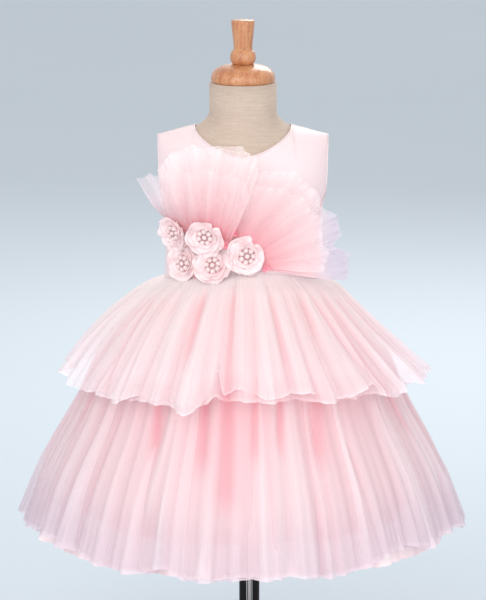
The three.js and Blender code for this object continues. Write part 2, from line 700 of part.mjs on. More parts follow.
function formBody() {
  const sides = [
    { face: "front", hand: -1 },
    { face: "front", hand: 1 },
    { face: "back", hand: 1 },
    { face: "back", hand: -1 },
  ];
  const corners = [];
  const triangle = (a, b, c) => corners.push(a, b, c);
  // Splits a panel along its deeper diagonal, so that no facet stands out towards the cloth.
  const span = (p, q) => Math.hypot(p.x + q.x, p.y + q.y);
  const quad = (a, b, c, d) => {
    if (span(b, d) < span(a, c)) [a, b, c, d] = [b, c, d, a];
    triangle(a, b, c);
    triangle(a, c, d);
  };
  // Puts a point of the +X, +Y quarter in its own quarter; a mirrored quarter has its faces turned round.
  for (const { face, hand } of sides) {
    const forward = face === "front" ? -1 : 1;
    const turned = hand * forward < 0;
    const set = ({ x, y, z }) => new THREE.Vector3(hand * x, forward * y, z);
    const panel = (...four) => {
      const placed = four.map(set);
      quad(...(turned ? placed : placed.reverse()));
    };
    const columns = SHARE_STEPS.map((share) => {
      const angle = (share * Math.PI) / 2;
      const column = FORM_HIPS.map(
        ({ z, side, [face]: deep }) => new THREE.Vector3(side * Math.sin(angle), deep * Math.cos(angle), z),
      );
      for (let row = 0; row <= BODICE_ROWS; row++) column.push(formPoint(share, row, face));
      if (share > NECK_SHARE) return column;
      const edge = column[column.length - 1];
      const turn = ((share / NECK_SHARE) * Math.PI) / 2;
      const neck = new THREE.Vector3(NECK_RADIUS * Math.sin(turn), NECK_RADIUS * Math.cos(turn), 0);
      for (const { rise, spread } of NECK_RINGS)
        column.push(neck.clone().lerp(edge, spread).setZ(lerp(edge.z, NECK_BASE_Z, rise)));
      column.push(neck.clone().setZ(NECK_TOP_Z));
      return column;
    });
    const floor = new THREE.Vector3(0, 0, FORM_HIPS[0].z);
    const crown = new THREE.Vector3(0, 0, NECK_TOP_Z);
    for (let i = 0; i + 1 < columns.length; i++) {
      const rows = Math.min(columns[i].length, columns[i + 1].length);
      for (let j = 0; j + 1 < rows; j++)
        panel(columns[i][j], columns[i + 1][j], columns[i + 1][j + 1], columns[i][j + 1]);
      panel(columns[i][0], floor, floor, columns[i + 1][0]);
      if (columns[i + 1].length > rows || SHARE_STEPS[i + 1] <= NECK_SHARE)
        panel(columns[i + 1].at(-1), crown, crown, columns[i].at(-1));
      // The arm's end, from the armhole's edge to the middle plane
      if (SHARE_STEPS[i] >= SHOULDER_SHARE) {
        const [above, below] = [SHARE_STEPS[i], SHARE_STEPS[i + 1]].map(armMiddle);
        panel(columns[i].at(-1), columns[i + 1].at(-1), below, above);
      }
    }
  }
  const whole = corners.filter((_, k) => {
    const [a, b, c] = corners.slice(k - (k % 3), k - (k % 3) + 3);
    return a.distanceTo(b) > 1e-4 && b.distanceTo(c) > 1e-4 && c.distanceTo(a) > 1e-4;
  });
  return mergeVertices(new THREE.BufferGeometry().setFromPoints(whole), 1e-3);
}

// A turned solid about the Z axis, from rows of radius and height that start and end on the axis.
function turned(rows, segments) {
  const geometry = new THREE.LatheGeometry(rows.map(({ r, z }) => new THREE.Vector2(r, z)), segments);
  geometry.rotateX(Math.PI / 2);
  return geometry;
}

const CAP_BASE_Z = NECK_TOP_Z + SEAM_GAP;
const KNOB_BASE_Z = 806.8;
const CAP_PROFILE = [
  { r: 0, z: CAP_BASE_Z },
  { r: 37.5, z: CAP_BASE_Z },
  { r: 39.2, z: 786.5 },
  { r: 39.4, z: 790.5 },
  { r: 37.8, z: 796 },
  { r: 32.5, z: 801.5 },
  { r: 24, z: 805 },
  { r: 15.5, z: KNOB_BASE_Z - SEAM_GAP },
  { r: 0, z: KNOB_BASE_Z - SEAM_GAP },
];
const KNOB_PROFILE = [
  { r: 0, z: KNOB_BASE_Z },
  { r: 12.6, z: KNOB_BASE_Z },
  { r: 15.3, z: 811 },
  { r: 15.8, z: 816 },
  { r: 14.6, z: 821.5 },
  { r: 11.6, z: 825 },
  { r: 11.5, z: 829 },
  { r: 14.4, z: 860 },
  { r: 13.7, z: 861.2 },
  { r: 0, z: 861.2 },
];

// Stand: a pale pole between two black ones, on a round weighted base.
const BASE = { radius: 130, edge: 126, height: 9, hub: 24, hubHeight: 16 };
const POLE = { side: 4.6, middle: 3.2, spacing: 8.2, shift: 8 };
const BASE_PROFILE = [
  { r: 0, z: 0 },
  { r: BASE.radius, z: 0 },
  { r: BASE.radius, z: BASE.height - 3 },
  { r: BASE.edge, z: BASE.height },
  { r: BASE.hub, z: BASE.height + 1 },
  { r: BASE.hub - 2, z: BASE.hubHeight },
  { r: 0, z: BASE.hubHeight },
];

function pole(radius, x) {
  const low = BASE.hubHeight + SEAM_GAP;
  const high = FORM_HIPS[0].z - SEAM_GAP;
  const geometry = new THREE.CylinderGeometry(radius, radius, high - low, 16);
  geometry.rotateX(Math.PI / 2);
  geometry.translate(x, 0, (low + high) / 2);
  return geometry;
}

add("form_body", formBody(), FINISH.linen);
add("form_cap", turned(CAP_PROFILE, 28), FINISH.wood);
add("form_knob", turned(KNOB_PROFILE, 20), FINISH.wood);
add("stand_base", turned(BASE_PROFILE, 36).translate(POLE.shift, 0, 0), FINISH.blackMetal);
add("stand_pole_left", pole(POLE.side, POLE.shift - POLE.spacing), FINISH.blackMetal);
add("stand_pole_middle", pole(POLE.middle, POLE.shift), FINISH.paleMetal);
add("stand_pole_right", pole(POLE.side, POLE.shift + POLE.spacing), FINISH.blackMetal);

export default dress;
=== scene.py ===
"""Toddler party dress on its dress form: the finished cloth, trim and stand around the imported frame.

Metres, +Z up. The dress's front faces -Y. Angles round the skirt run from 0 at the front to 90 degrees
at +X.
"""

import logging
import math
from dataclasses import dataclass, field, replace
from enum import Enum
from typing import Callable, Iterable, Union

import bmesh
import bpy
import numpy as np
from mathutils import Euler, Matrix, Vector


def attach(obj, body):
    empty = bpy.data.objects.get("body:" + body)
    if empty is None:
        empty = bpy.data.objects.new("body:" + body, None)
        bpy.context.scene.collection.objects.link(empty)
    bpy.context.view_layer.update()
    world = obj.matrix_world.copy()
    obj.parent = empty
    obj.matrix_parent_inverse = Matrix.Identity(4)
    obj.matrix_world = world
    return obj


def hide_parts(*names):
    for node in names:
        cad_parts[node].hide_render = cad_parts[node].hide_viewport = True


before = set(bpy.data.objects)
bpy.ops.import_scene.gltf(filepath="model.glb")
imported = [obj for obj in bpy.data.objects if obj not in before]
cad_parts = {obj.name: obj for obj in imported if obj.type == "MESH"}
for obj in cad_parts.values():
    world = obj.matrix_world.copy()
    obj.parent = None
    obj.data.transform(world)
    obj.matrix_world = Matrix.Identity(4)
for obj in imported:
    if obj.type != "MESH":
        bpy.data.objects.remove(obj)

LOG = logging.getLogger("party_dress")
DRESS = "dress_on_form"
TAB = "pull_tab"
CUT = "cut"
FULL_TURN = 2 * math.pi
Value = Union["Wire", float, tuple]


def rgb(code: str) -> tuple:
    """Turns a hex colour as seen on screen into the linear one that shaders use.

    Args:
        code: six hex digits.

    Returns:
        Red, green, blue and a full alpha.
    """
    parts = [int(code[k : k + 2], 16) / 255 for k in (0, 2, 4)]
    return tuple(c / 12.92 if c < 0.04045 else ((c + 0.055) / 1.055) ** 2.4 for c in parts) + (1.0,)


def smoothstep(low: float, high: float, value: np.ndarray) -> np.ndarray:
    """Rises softly from 0 at low to 1 at high."""
    share = np.clip((value - low) / (high - low), 0, 1)
    return share * share * (3 - 2 * share)


def through(keys: Iterable[float], values: Iterable[float], at: np.ndarray) -> np.ndarray:
    """Reads a smooth curve through a table's rows.

    Args:
        keys: the rows' places, rising.
        values: the rows' values.
        at: where to read.

    Returns:
        The curve's values, held at the ends.
    """
    xs, ys = np.asarray(keys, float), np.asarray(values, float)
    slopes = np.gradient(ys, xs)
    at = np.asarray(at, float)
    k = np.clip(np.searchsorted(xs, at) - 1, 0, len(xs) - 2)
    span = xs[k + 1] - xs[k]
    t = np.clip((at - xs[k]) / span, 0, 1)
    rise = ys[k] * (2 * t**3 - 3 * t**2 + 1) + ys[k + 1] * (3 * t**2 - 2 * t**3)
    return rise + span * (slopes[k] * (t**3 - 2 * t**2 + t) + slopes[k + 1] * (t**3 - t**2))


def operator(operation: str, flipped: bool = False) -> Callable:
    """Makes a method that adds one Math node of a wire and a value; flipped puts the value first."""

    def method(wire: "Wire", other: Value) -> "Wire":
        """Adds the Math node."""
        return wire._math(operation, *((other, wire) if flipped else (wire, other)))

    return method


class Wire:
    """An output socket of a material, on which Python's operators add Math nodes."""

    __add__ = operator("ADD")
    __radd__ = operator("ADD", True)
    __sub__ = operator("SUBTRACT")
    __rsub__ = operator("SUBTRACT", True)
    __mul__ = operator("MULTIPLY")

    def __init__(self, shader: "Shader", socket: bpy.types.NodeSocket) -> None:
        """Keeps the socket and the shader that it belongs to."""
        self.shader = shader
        self.socket = socket

    def _math(self, operation: str, *values: Value) -> "Wire":
        """Adds one Math node."""
        return self.shader.node("ShaderNodeMath", {"operation": operation}, dict(enumerate(values)))

    def clipped(self, low: float = 0.0, high: float = 1.0) -> "Wire":
        """Holds this wire between two values."""
        return self._math("MAXIMUM", self._math("MINIMUM", self, high), low)

    def sine(self) -> "Wire":
        """The wire's sine."""
        return self._math("SINE", self)

    def size(self) -> "Wire":
        """The wire without its sign."""
        return self._math("ABSOLUTE", self)


class Shader:
    """A material that is built node by node."""

    def __init__(self, name: str) -> None:
        """Starts an empty material of that name."""
        self.material = bpy.data.materials.new(name)
        self.material.use_nodes = True
        self.tree = self.material.node_tree
        self.tree.nodes.clear()

    def node(
        self, kind: str, settings: dict | None = None, inputs: dict | None = None, out: int | str = 0
    ) -> Wire:
        """Adds any node.

        Args:
            kind: the node's type.
            settings: its settings, set first; "stops" gives a ramp's places and colours.
            inputs: values or wires for its sockets, by index or name.
            out: the output socket that is wanted.

        Returns:
            That output as a wire.
        """
        made = self.tree.nodes.new(kind)
        for name, value in (settings or {}).items():
            if name != "stops":
                setattr(made, name, value)
                continue
            ramp = made.color_ramp
            for k, (place, colour) in enumerate(value):
                stop = ramp.elements[k] if k < 2 else ramp.elements.new(place)
                stop.position = place
                stop.color = colour
        for key, value in (inputs or {}).items():
            if isinstance(value, Wire):
                self.tree.links.new(value.socket, made.inputs[key])
            else:
                made.inputs[key].default_value = value
        return Wire(self, made.outputs[out])

    def mix(self, share: Value, first: Value, second: Value) -> Wire:
        """Mixes two colours.

        Args:
            share: how much of the second.
            first: the colour at share 0.
            second: the colour at share 1.

        Returns:
            The mixed colour.
        """
        return self.node("ShaderNodeMix", {"data_type": "RGBA"}, {0: share, 6: first, 7: second}, 2)

    def attribute(self, name: str) -> Wire:
        """A number that the mesh carries at each point."""
        return self.node("ShaderNodeAttribute", {"attribute_name": name}, out="Fac")

    def cut(self, across: float = 1.0, along: float = 1.0) -> Wire:
        """The place on the flat cloth, in metres times two scales."""
        uv = self.node("ShaderNodeUVMap", {"uv_map": CUT})
        return self.node("ShaderNodeVectorMath", {"operation": "MULTIPLY"}, {0: uv, 1: (across, along, 0.0)})

    def place(self, x: float, y: float, z: float) -> Wire:
        """The place on the object, scaled along each axis."""
        spot = self.node("ShaderNodeTexCoord", out="Object")
        return self.node("ShaderNodeVectorMath", {"operation": "MULTIPLY"}, {0: spot, 1: (x, y, z)})

    def noise(self, where: Wire, scale: float, detail: float = 2.0, rough: float = 0.5) -> Wire:
        """Soft cloudy noise from 0 to 1."""
        inputs = {"Vector": where, "Scale": scale, "Detail": detail, "Roughness": rough}
        return self.node("ShaderNodeTexNoise", None, inputs, "Fac")

    def part(self, where: Wire, axis: str) -> Wire:
        """One axis of a place."""
        return self.node("ShaderNodeSeparateXYZ", None, {0: where}, axis)

    def bump(self, height: Wire, strength: float, distance: float) -> Wire:
        """A normal that is tilted by a height in metres."""
        inputs = {"Strength": strength, "Distance": distance, "Height": height}
        return self.node("ShaderNodeBump", None, inputs)

    def finish(self, **inputs: Value) -> bpy.types.Material:
        """Closes the material with a Principled shader.

        Args:
            **inputs: the shader's sockets, with underscores for spaces.

        Returns:
            The material.
        """
        sockets = {name.replace("_", " "): value for name, value in inputs.items()}
        surface = self.node("ShaderNodeBsdfPrincipled", None, sockets)
        self.node_output(surface)
        return self.material

    def node_output(self, surface: Wire) -> None:
        """Joins a surface to the material's output."""
        output = self.tree.nodes.new("ShaderNodeOutputMaterial")
        self.tree.links.new(surface.socket, output.inputs["Surface"])


@dataclass(frozen=True)
class Net:
    """Soft fine net, half see-through: pale with a painted highlight on its ridges, pink with painted shade
    where it lies deep, and a painted lavender shade where its points ask for one.
    """

    name: str
    # pale is the painted highlight on ridges, deep the painted shade in folds, and the third colour a painted
    # lavender shade with the backdrop's blue in it.
    pale: tuple = rgb("fff4f3")
    deep: tuple = rgb("ffb0b8")
    lavender_shade: tuple = rgb("efe2f1")
    cover: float = 0.5
    streaks: float = 0.075
    mesh_pitch: float = 0.0016
    streak_width: float = 0.0035
    streak_length: float = 0.16

    def material(self) -> bpy.types.Material:
        """Makes the net's material, which reads the points' values for pink with painted shade, for painted
        lavender shade, and for cover.
        """
        shader = Shader(self.name)
        streak = shader.noise(shader.cut(1 / self.streak_width, 1 / self.streak_length), 1.0, 3.0, 0.6) - 0.5
        # The colour is painted: highlight towards pale, shade towards deep, and the painted lavender shade,
        # with random streaks.
        tint_and_shade = (shader.attribute("tint_and_shade") + streak * self.streaks).clipped()
        colour = shader.mix(tint_and_shade, self.pale, self.deep)
        colour = shader.mix(shader.attribute("lavender_shade").clipped(), colour, self.lavender_shade)
        thread = shader.cut(math.pi / self.mesh_pitch, math.pi / self.mesh_pitch)
        hole = shader.part(thread, "X").sine() * shader.part(thread, "Y").sine()
        cover = self.cover + shader.attribute("dense") + streak * self.streaks * 1.5 - hole.size() * 0.08
        return shader.finish(
            Base_Color=colour,
            Roughness=0.92,
            Alpha=cover.clipped(0.05, 1.0),
            Specular_IOR_Level=0.15,
            Sheen_Weight=0.12,
            Sheen_Roughness=0.6,
        )


@dataclass(frozen=True)
class Satin:
    """Smooth satin with a fine diagonal weave and a soft gloss."""

    name: str
    colour: tuple = rgb("ecdadb")
    shade: tuple = rgb("ebcfd2")
    gloss: float = 0.42
    twill_pitch: float = 0.0011

    def material(self) -> bpy.types.Material:
        """Makes the satin's material."""
        shader = Shader(self.name)
        cloud = shader.noise(shader.place(1, 1, 1), 14.0, 3.0)
        tint_and_shade = (shader.attribute("tint_and_shade") + (cloud - 0.5) * 0.35).clipped()
        where = shader.cut(FULL_TURN / self.twill_pitch, FULL_TURN / self.twill_pitch)
        twill = (shader.part(where, "X") + shader.part(where, "Y") * 2.0).sine()
        slub = shader.noise(shader.cut(900, 90), 1.0, 2.0)
        return shader.finish(
            # The second colour is painted shade, laid where the points' values call for it, with random
            # clouding.
            Base_Color=shader.mix(tint_and_shade, self.colour, self.shade),
            Roughness=self.gloss + slub * 0.12 - 0.06,
            Normal=shader.bump(twill * 0.5 + slub, 0.35, 0.00012),
            Sheen_Weight=0.25,
            Sheen_Roughness=0.4,
            Specular_IOR_Level=0.4,
        )


@dataclass(frozen=True)
class Chiffon:
    """Sheer petal cloth, pinker at the heart and whiter at the rim, with a faint painted glow."""

    name: str
    rim: tuple = rgb("fdf0f0")
    heart: tuple = rgb("f8c2ca")
    glow: float = 0.07

    def material(self) -> bpy.types.Material:
        """Makes the petals' material."""
        shader = Shader(self.name)
        vein = shader.noise(shader.cut(1100, 160), 1.0, 3.0)
        tint_and_shade = (shader.attribute("tint_and_shade") + (vein - 0.5) * 0.3).clipped()
        return shader.finish(
            Base_Color=shader.mix(tint_and_shade, self.rim, self.heart),
            # Emission is a painted glow that lifts the petals out of their shade; they are no lamp.
            Emission_Color=shader.mix(tint_and_shade, self.rim, self.heart),
            Emission_Strength=self.glow,
            Roughness=0.75,
            Alpha=(0.94 - shader.attribute("dense") + vein * 0.06).clipped(0.2, 1.0),
            Normal=shader.bump(vein, 0.3, 0.0002),
            Sheen_Weight=0.2,
            Specular_IOR_Level=0.25,
        )


@dataclass(frozen=True)
class Pearl:
    """Nacre over a bead: a soft body colour under a clear coat."""

    name: str
    colour: tuple = rgb("ebdad6")
    blush: tuple = rgb("e4bfbf")
    gloss: float = 0.22

    def material(self) -> bpy.types.Material:
        """Makes the pearls' material."""
        shader = Shader(self.name)
        cloud = shader.noise(shader.place(1, 1, 1), 260.0, 2.0)
        return shader.finish(
            Base_Color=shader.mix(cloud, self.colour, self.blush),
            Roughness=self.gloss + cloud * 0.08,
            Coat_Weight=0.7,
            Coat_Roughness=0.06,
            Sheen_Weight=0.2,
        )


@dataclass(frozen=True)
class Linen:
    """Plain woven linen stretched over the form."""

    name: str = "form_linen"
    pale: tuple = rgb("d6c4b6")
    dark: tuple = rgb("a8927f")
    pitch: float = 0.0009

    def material(self) -> bpy.types.Material:
        """Makes the linen's material, with uneven threads up and round."""
        shader = Shader(self.name)
        up = shader.noise(shader.cut(1 / self.pitch, 40), 1.0, 2.0)
        round_ = shader.noise(shader.cut(40, 1 / self.pitch), 1.0, 2.0)
        slub = shader.noise(shader.cut(18, 420), 1.0, 4.0, 0.7)
        weave = up * 0.45 + round_ * 0.55
        shade = (weave * 0.9 + slub * 0.7 - 0.35).clipped()
        return shader.finish(
            Base_Color=shader.mix(shade, self.pale, self.dark),
            Roughness=0.88,
            Normal=shader.bump(weave + slub * 0.6, 0.5, 0.0004),
            Specular_IOR_Level=0.2,
            Sheen_Weight=0.15,
        )


@dataclass(frozen=True)
class TurnedWood:
    """Varnished orange-brown wood with streaked grain, fine cracks and darker pores."""

    name: str = "turned_wood"
    light: tuple = rgb("e0a878")
    brown: tuple = rgb("b46c40")
    dark: tuple = rgb("6e3a1e")

    def material(self) -> bpy.types.Material:
        """Makes the wood's material."""
        shader = Shader(self.name)
        grain = shader.noise(shader.place(60, 60, 11), 1.0, 5.0, 0.65)
        pores = shader.noise(shader.place(620, 620, 60), 1.0, 3.0, 0.7)
        cell = shader.node(
            "ShaderNodeTexVoronoi",
            {"feature": "DISTANCE_TO_EDGE"},
            {"Vector": shader.place(120, 120, 170), "Scale": 1.0},
        )
        crack = (1 - cell * 16.0).clipped()
        stops = [(0.25, self.light), (0.62, self.brown)]
        colour = shader.node("ShaderNodeValToRGB", {"stops": stops}, {0: grain})
        colour = shader.mix(((pores - 0.56) * 3.0 + crack * 0.45).clipped(0.0, 0.8), colour, self.dark)
        return shader.finish(
            Base_Color=colour,
            Roughness=0.34 + grain * 0.14,
            Normal=shader.bump(pores + crack * -0.8, 0.25, 0.0005),
            Coat_Weight=0.5,
            Coat_Roughness=0.16,
        )


@dataclass(frozen=True)
class Metal:
    """Painted or bare metal with faint drawn lines and specks."""

    name: str
    colour: tuple
    worn: tuple
    metallic: float
    rough: float

    def material(self) -> bpy.types.Material:
        """Makes the metal's material."""
        shader = Shader(self.name)
        lines = shader.noise(shader.place(900, 900, 14), 1.0, 3.0)
        specks = shader.noise(shader.place(1, 1, 1), 320.0, 2.0)
        share = ((specks - 0.6) * 2.4 + (lines - 0.5) * 0.4).clipped(0.0, 0.7)
        return shader.finish(
            Base_Color=shader.mix(share, self.colour, self.worn),
            Metallic=self.metallic,
            Roughness=self.rough + lines * 0.12,
            Normal=shader.bump(lines, 0.12, 0.0002),
        )


class Finishes:
    """Every finish of the object, each made once."""

    def __init__(self) -> None:
        """Makes the materials."""
        self.net_upper = Net("net_upper", cover=0.5).material()
        # The lavender colours given here are painted shade, with the backdrop's blue in it.
        self.net_lower = Net("net_lower", lavender_shade=rgb("decdd8"), cover=0.54).material()
        self.net_fan = Net("net_fan", lavender_shade=rgb("d3c6da"), cover=0.48, streaks=0.1).material()
        self.satin = Satin("satin").material()
        self.lining = Satin("lining_satin", rgb("ffacb6"), rgb("f794a2"), 0.6).material()
        self.petal = Chiffon("petal_chiffon").material()
        self.tuck = Chiffon("tuck_chiffon", rgb("f7b0bb"), rgb("e0607a"), 0.06).material()
        self.pearl = Pearl("pearl", rgb("eadcd8"), rgb("e4c2c2")).material()
        self.seed = Pearl("seed_bead", rgb("e58a9a"), rgb("b35a68"), 0.15).material()
        self.linen = Linen().material()
        self.wood = TurnedWood().material()
        self.black = Metal("black_metal", rgb("1b1917"), rgb("3a3632"), 0.5, 0.28).material()
        self.steel = Metal("pale_metal", rgb("d9d4cf"), rgb("9c9690"), 0.9, 0.28).material()
        self.zip = Satin("zip_tape", rgb("f6cfd5"), rgb("eab4bd"), 0.6).material()
        self.zip_metal = Metal("zip_metal", rgb("f3d3d7"), rgb("d9aab1"), 0.35, 0.3).material()


class Held(Enum):
    """How a piece of cloth is held."""

    GATHERED = "gathered"
    STRETCHED = "stretched"
    FOLDED = "folded"


def mesh_object(
    name: str, points: np.ndarray, faces: np.ndarray, corners: np.ndarray | None = None
) -> bpy.types.Object:
    """Makes a smooth-shaded mesh object.

    Args:
        name: the piece's name.
        points: its points, in rows of three.
        faces: its quads or triangles, as rows of point numbers.
        corners: the flat cloth's place of each face corner.

    Returns:
        The object, linked to the scene.
    """
    mesh = bpy.data.meshes.new(name)
    sides = faces.shape[1]
    mesh.vertices.add(len(points))
    mesh.vertices.foreach_set("co", points.astype(np.float32).ravel())
    mesh.loops.add(faces.size)
    mesh.loops.foreach_set("vertex_index", faces.astype(np.int32).ravel())
    mesh.polygons.add(len(faces))
    mesh.polygons.foreach_set("loop_start", np.arange(0, faces.size, sides, dtype=np.int32))
    mesh.polygons.foreach_set("use_smooth", np.ones(len(faces), bool))
    if corners is not None:
        mesh.uv_layers.new(name=CUT).data.foreach_set("uv", corners.astype(np.float32).ravel())
    mesh.update(calc_edges=True)
    mesh.validate()
    piece = bpy.data.objects.new(name, mesh)
    bpy.context.scene.collection.objects.link(piece)
    return piece


def cloth(name: str, points: np.ndarray, values: dict, ring: bool = False) -> bpy.types.Object:
    """Makes a sheet of cloth from a grid of points.

    Args:
        name: the piece's name.
        points: the grid, columns first, then rows that go up, each a point.
        values: numbers that each point carries, by name, for the material.
        ring: whether the last column joins the first.

    Returns:
        The sheet, whose UV map is its place on the flat cloth in metres.
    """
    columns, rows = points.shape[:2]
    spans = columns if ring else columns - 1
    i, j = np.meshgrid(np.arange(spans), np.arange(rows - 1), indexing="ij")
    after = (i + 1) % columns
    low, far = i * rows + j, after * rows + j
    faces = np.stack([low, far, far + 1, low + 1], -1).reshape(-1, 4)
    step = np.linalg.norm(np.roll(points, -1, 0)[:, 0] - points[:, 0], axis=-1).mean()
    rise = np.linalg.norm(points[:, 1:] - points[:, :-1], axis=-1).mean()
    corners = np.stack(
        [np.stack([(i + a) * step, (j + b) * rise], -1) for a, b in ((0, 0), (1, 0), (1, 1), (0, 1))], 2
    ).reshape(-1, 2)
    piece = mesh_object(name, points.reshape(-1, 3), faces, corners)
    for key in ("tint_and_shade", "lavender_shade", "dense"):
        layer = piece.data.attributes.new(key, "FLOAT", "POINT")
        filled = np.broadcast_to(np.asarray(values.get(key, 0.0), float), (columns, rows))
        layer.data.foreach_set("value", filled.astype(np.float32).ravel())
    return piece


def thicken(piece: bpy.types.Object, thickness: float, offset: float = -1.0) -> None:
    """Gives a sheet its thickness, inwards unless the offset says otherwise."""
    modifier = piece.modifiers.new("thickness", "SOLIDIFY")
    modifier.thickness = thickness
    modifier.offset = offset


def dress_piece(
    piece: bpy.types.Object, finish: bpy.types.Material, nodes: tuple, body: str = DRESS
) -> None:
    """Finishes a piece: its material, its body and the solids that it stands for.

    Args:
        piece: the object.
        finish: its material.
        nodes: the solids that it stands for.
        body: the body that it rides on.
    """
    if not piece.data.materials:
        piece.data.materials.append(finish)
    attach(piece, body)
    if nodes:
        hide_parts(*nodes)
    LOG.info("%s: %d faces", piece.name, len(piece.data.polygons))


def merged_copy(node: str, name: str) -> bpy.types.Object:
    """A copy of a solid's mesh with its doubled points merged, as a new piece."""
    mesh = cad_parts[node].data.copy()
    work = bmesh.new()
    work.from_mesh(mesh)
    bmesh.ops.remove_doubles(work, verts=work.verts, dist=1e-5)
    bmesh.ops.dissolve_limit(work, angle_limit=math.radians(1), verts=work.verts, edges=work.edges)
    work.to_mesh(mesh)
    work.free()
    mesh.name = name
    mesh.materials.clear()
    piece = bpy.data.objects.new(name, mesh)
    bpy.context.scene.collection.objects.link(piece)
    return piece


@dataclass(frozen=True)
class BodiceCut:
    """The bodice's cut, with the same heights, half widths and depths as its solids."""

    waist_z: float = 0.541
    front_rise: float = 0.018
    chest_z: float = 0.655
    neck_point_z: float = 0.7316
    neck_half: float = 0.0605
    shoulder_half: float = 0.105
    shoulder_slope: float = 0.26
    front_drop: float = 0.032
    back_drop: float = 0.014
    neck_power: float = 1.45
    neck_share: float = 0.46
    shoulder_share: float = 0.76
    chest_share: float = 0.55
    levels: tuple = (0.541, 0.58, 0.623, 0.655, 0.7, 0.75)
    sides: tuple = (0.0975, 0.0965, 0.098, 0.108, 0.1085, 0.1085)
    fronts: tuple = (0.078, 0.077, 0.0755, 0.075, 0.075, 0.075)
    backs: tuple = (0.062, 0.062, 0.0645, 0.066, 0.066, 0.066)
    arm_turn: float = 0.16
    swing: float = 4.0
    armhole_shares: tuple = (0.0, 0.03, 0.06, 0.09, 0.12, 0.16, 0.36, 0.58, 0.79, 1.0)
    armhole_x: tuple = (0.105, 0.1044, 0.1037, 0.1034, 0.1025, 0.0994, 0.09725, 0.09696, 0.09761, 0.098)
    armhole_z: tuple = (0.72003, 0.7, 0.685, 0.672, 0.66, 0.646, 0.636, 0.6285, 0.6245, 0.623)

    def hem_z(self, angle: float) -> float:
        """The waist seam's height at an angle round the body."""
        return self.waist_z + self.front_rise * max(0.0, math.cos(angle)) ** 2

    def shoulder_z(self, x: float) -> float:
        """The shoulder seam's height at a distance from the middle."""
        return self.neck_point_z - (abs(x) - self.neck_half) * self.shoulder_slope

    def side(self, z: float) -> float:
        """The body's half width at a height."""
        return float(through(self.levels, self.sides, z))

    def depth(self, x: float, z: float, front: bool) -> float:
        """How deep the cloth's outer face lies before or behind the middle plane.

        Args:
            x: distance from the middle.
            z: height.
            front: whether the front is meant.

        Returns:
            The depth.
        """
        side = self.side(z)
        deep = float(through(self.levels, self.fronts if front else self.backs, z))
        full = deep * math.sqrt(max(0.0, 1 - (x / side) ** 2))
        if z <= self.chest_z:
            return full
        climb = min(1.0, max(0.0, (z - self.chest_z) / (self.shoulder_z(x) - self.chest_z)))
        return full * math.sqrt(1 - climb * climb)

    def top(self, share: float, front: bool) -> tuple:
        """The upper end of a column, on the neckline, the shoulder seam or the armhole.

        Args:
            share: the column's place, from 0 in the middle to 1 at the side seam.
            front: whether the front is meant.

        Returns:
            Its half width and height.
        """
        if share <= self.neck_share:
            x = self.neck_half * share / self.neck_share
            near = (x / self.neck_half) ** self.neck_power
            drop = self.front_drop if front else self.back_drop
            return x, self.shoulder_z(self.neck_half) - drop * (1 - near) ** (1 / self.neck_power)
        if share <= self.shoulder_share:
            along = (share - self.neck_share) / (self.shoulder_share - self.neck_share)
            x = self.neck_half + (self.shoulder_half - self.neck_half) * along
            return x, self.shoulder_z(x)
        along = (share - self.shoulder_share) / (1 - self.shoulder_share)
        x = float(through(self.armhole_shares, self.armhole_x, along))
        return x, float(through(self.armhole_shares, self.armhole_z, along))

    def point(self, share: float, up: float, front: bool) -> Vector:
        """A point of the bodice's outer face, with its depth as +Y.

        Args:
            share: from 0 in the middle to 1 at the side seam.
            up: from 0 at the waist to 1 at the top edge.
            front: whether the front is meant.

        Returns:
            Half width, depth and height.
        """
        angle = share * math.pi / 2
        hem_z = self.hem_z(angle) if front else self.waist_z
        top_x, top_z = self.top(share, front)
        hem_part, top_part = math.sin(angle), top_x / self.side(top_z)
        bend_z = min(self.chest_z, top_z)
        if up <= self.chest_share or top_z <= self.chest_z:
            climb = up if top_z <= self.chest_z else up / self.chest_share
            z = hem_z + (bend_z - hem_z) * climb
            swung = ((z - hem_z) / (top_z - hem_z)) ** self.swing
            x = self.side(z) * (hem_part + (top_part - hem_part) * swung)
            return Vector((x, self.depth(x, z, front), z))
        turn_share = (up - self.chest_share) / (1 - self.chest_share)
        bend_part = hem_part + (top_part - hem_part) * ((bend_z - hem_z) / (top_z - hem_z)) ** self.swing
        bend_x = self.side(bend_z) * bend_part
        x = bend_x + (top_x - bend_x) * turn_share
        reach = (top_z - self.chest_z) / (self.shoulder_z(top_x) - self.chest_z)
        turn = math.asin(min(1.0, max(0.0, reach))) * turn_share
        z = self.chest_z + (self.shoulder_z(x) - self.chest_z) * math.sin(turn)
        return Vector((x, self.depth(x, z, front), z))

    def shares(self, steps: int) -> list:
        """Column places from the middle to the side seam, with one at each corner of the top edge."""
        turn = self.shoulder_share + self.arm_turn * (1 - self.shoulder_share)
        stops = (0.0, self.neck_share, self.shoulder_share, turn, 1.0)
        counts = [max(8, round(steps * (b - a))) for a, b in zip(stops, stops[1:])]
        spans = [np.linspace(a, b, n, endpoint=False) for a, b, n in zip(stops, stops[1:], counts)]
        return [float(s) for s in np.concatenate([*spans, [1.0]])]


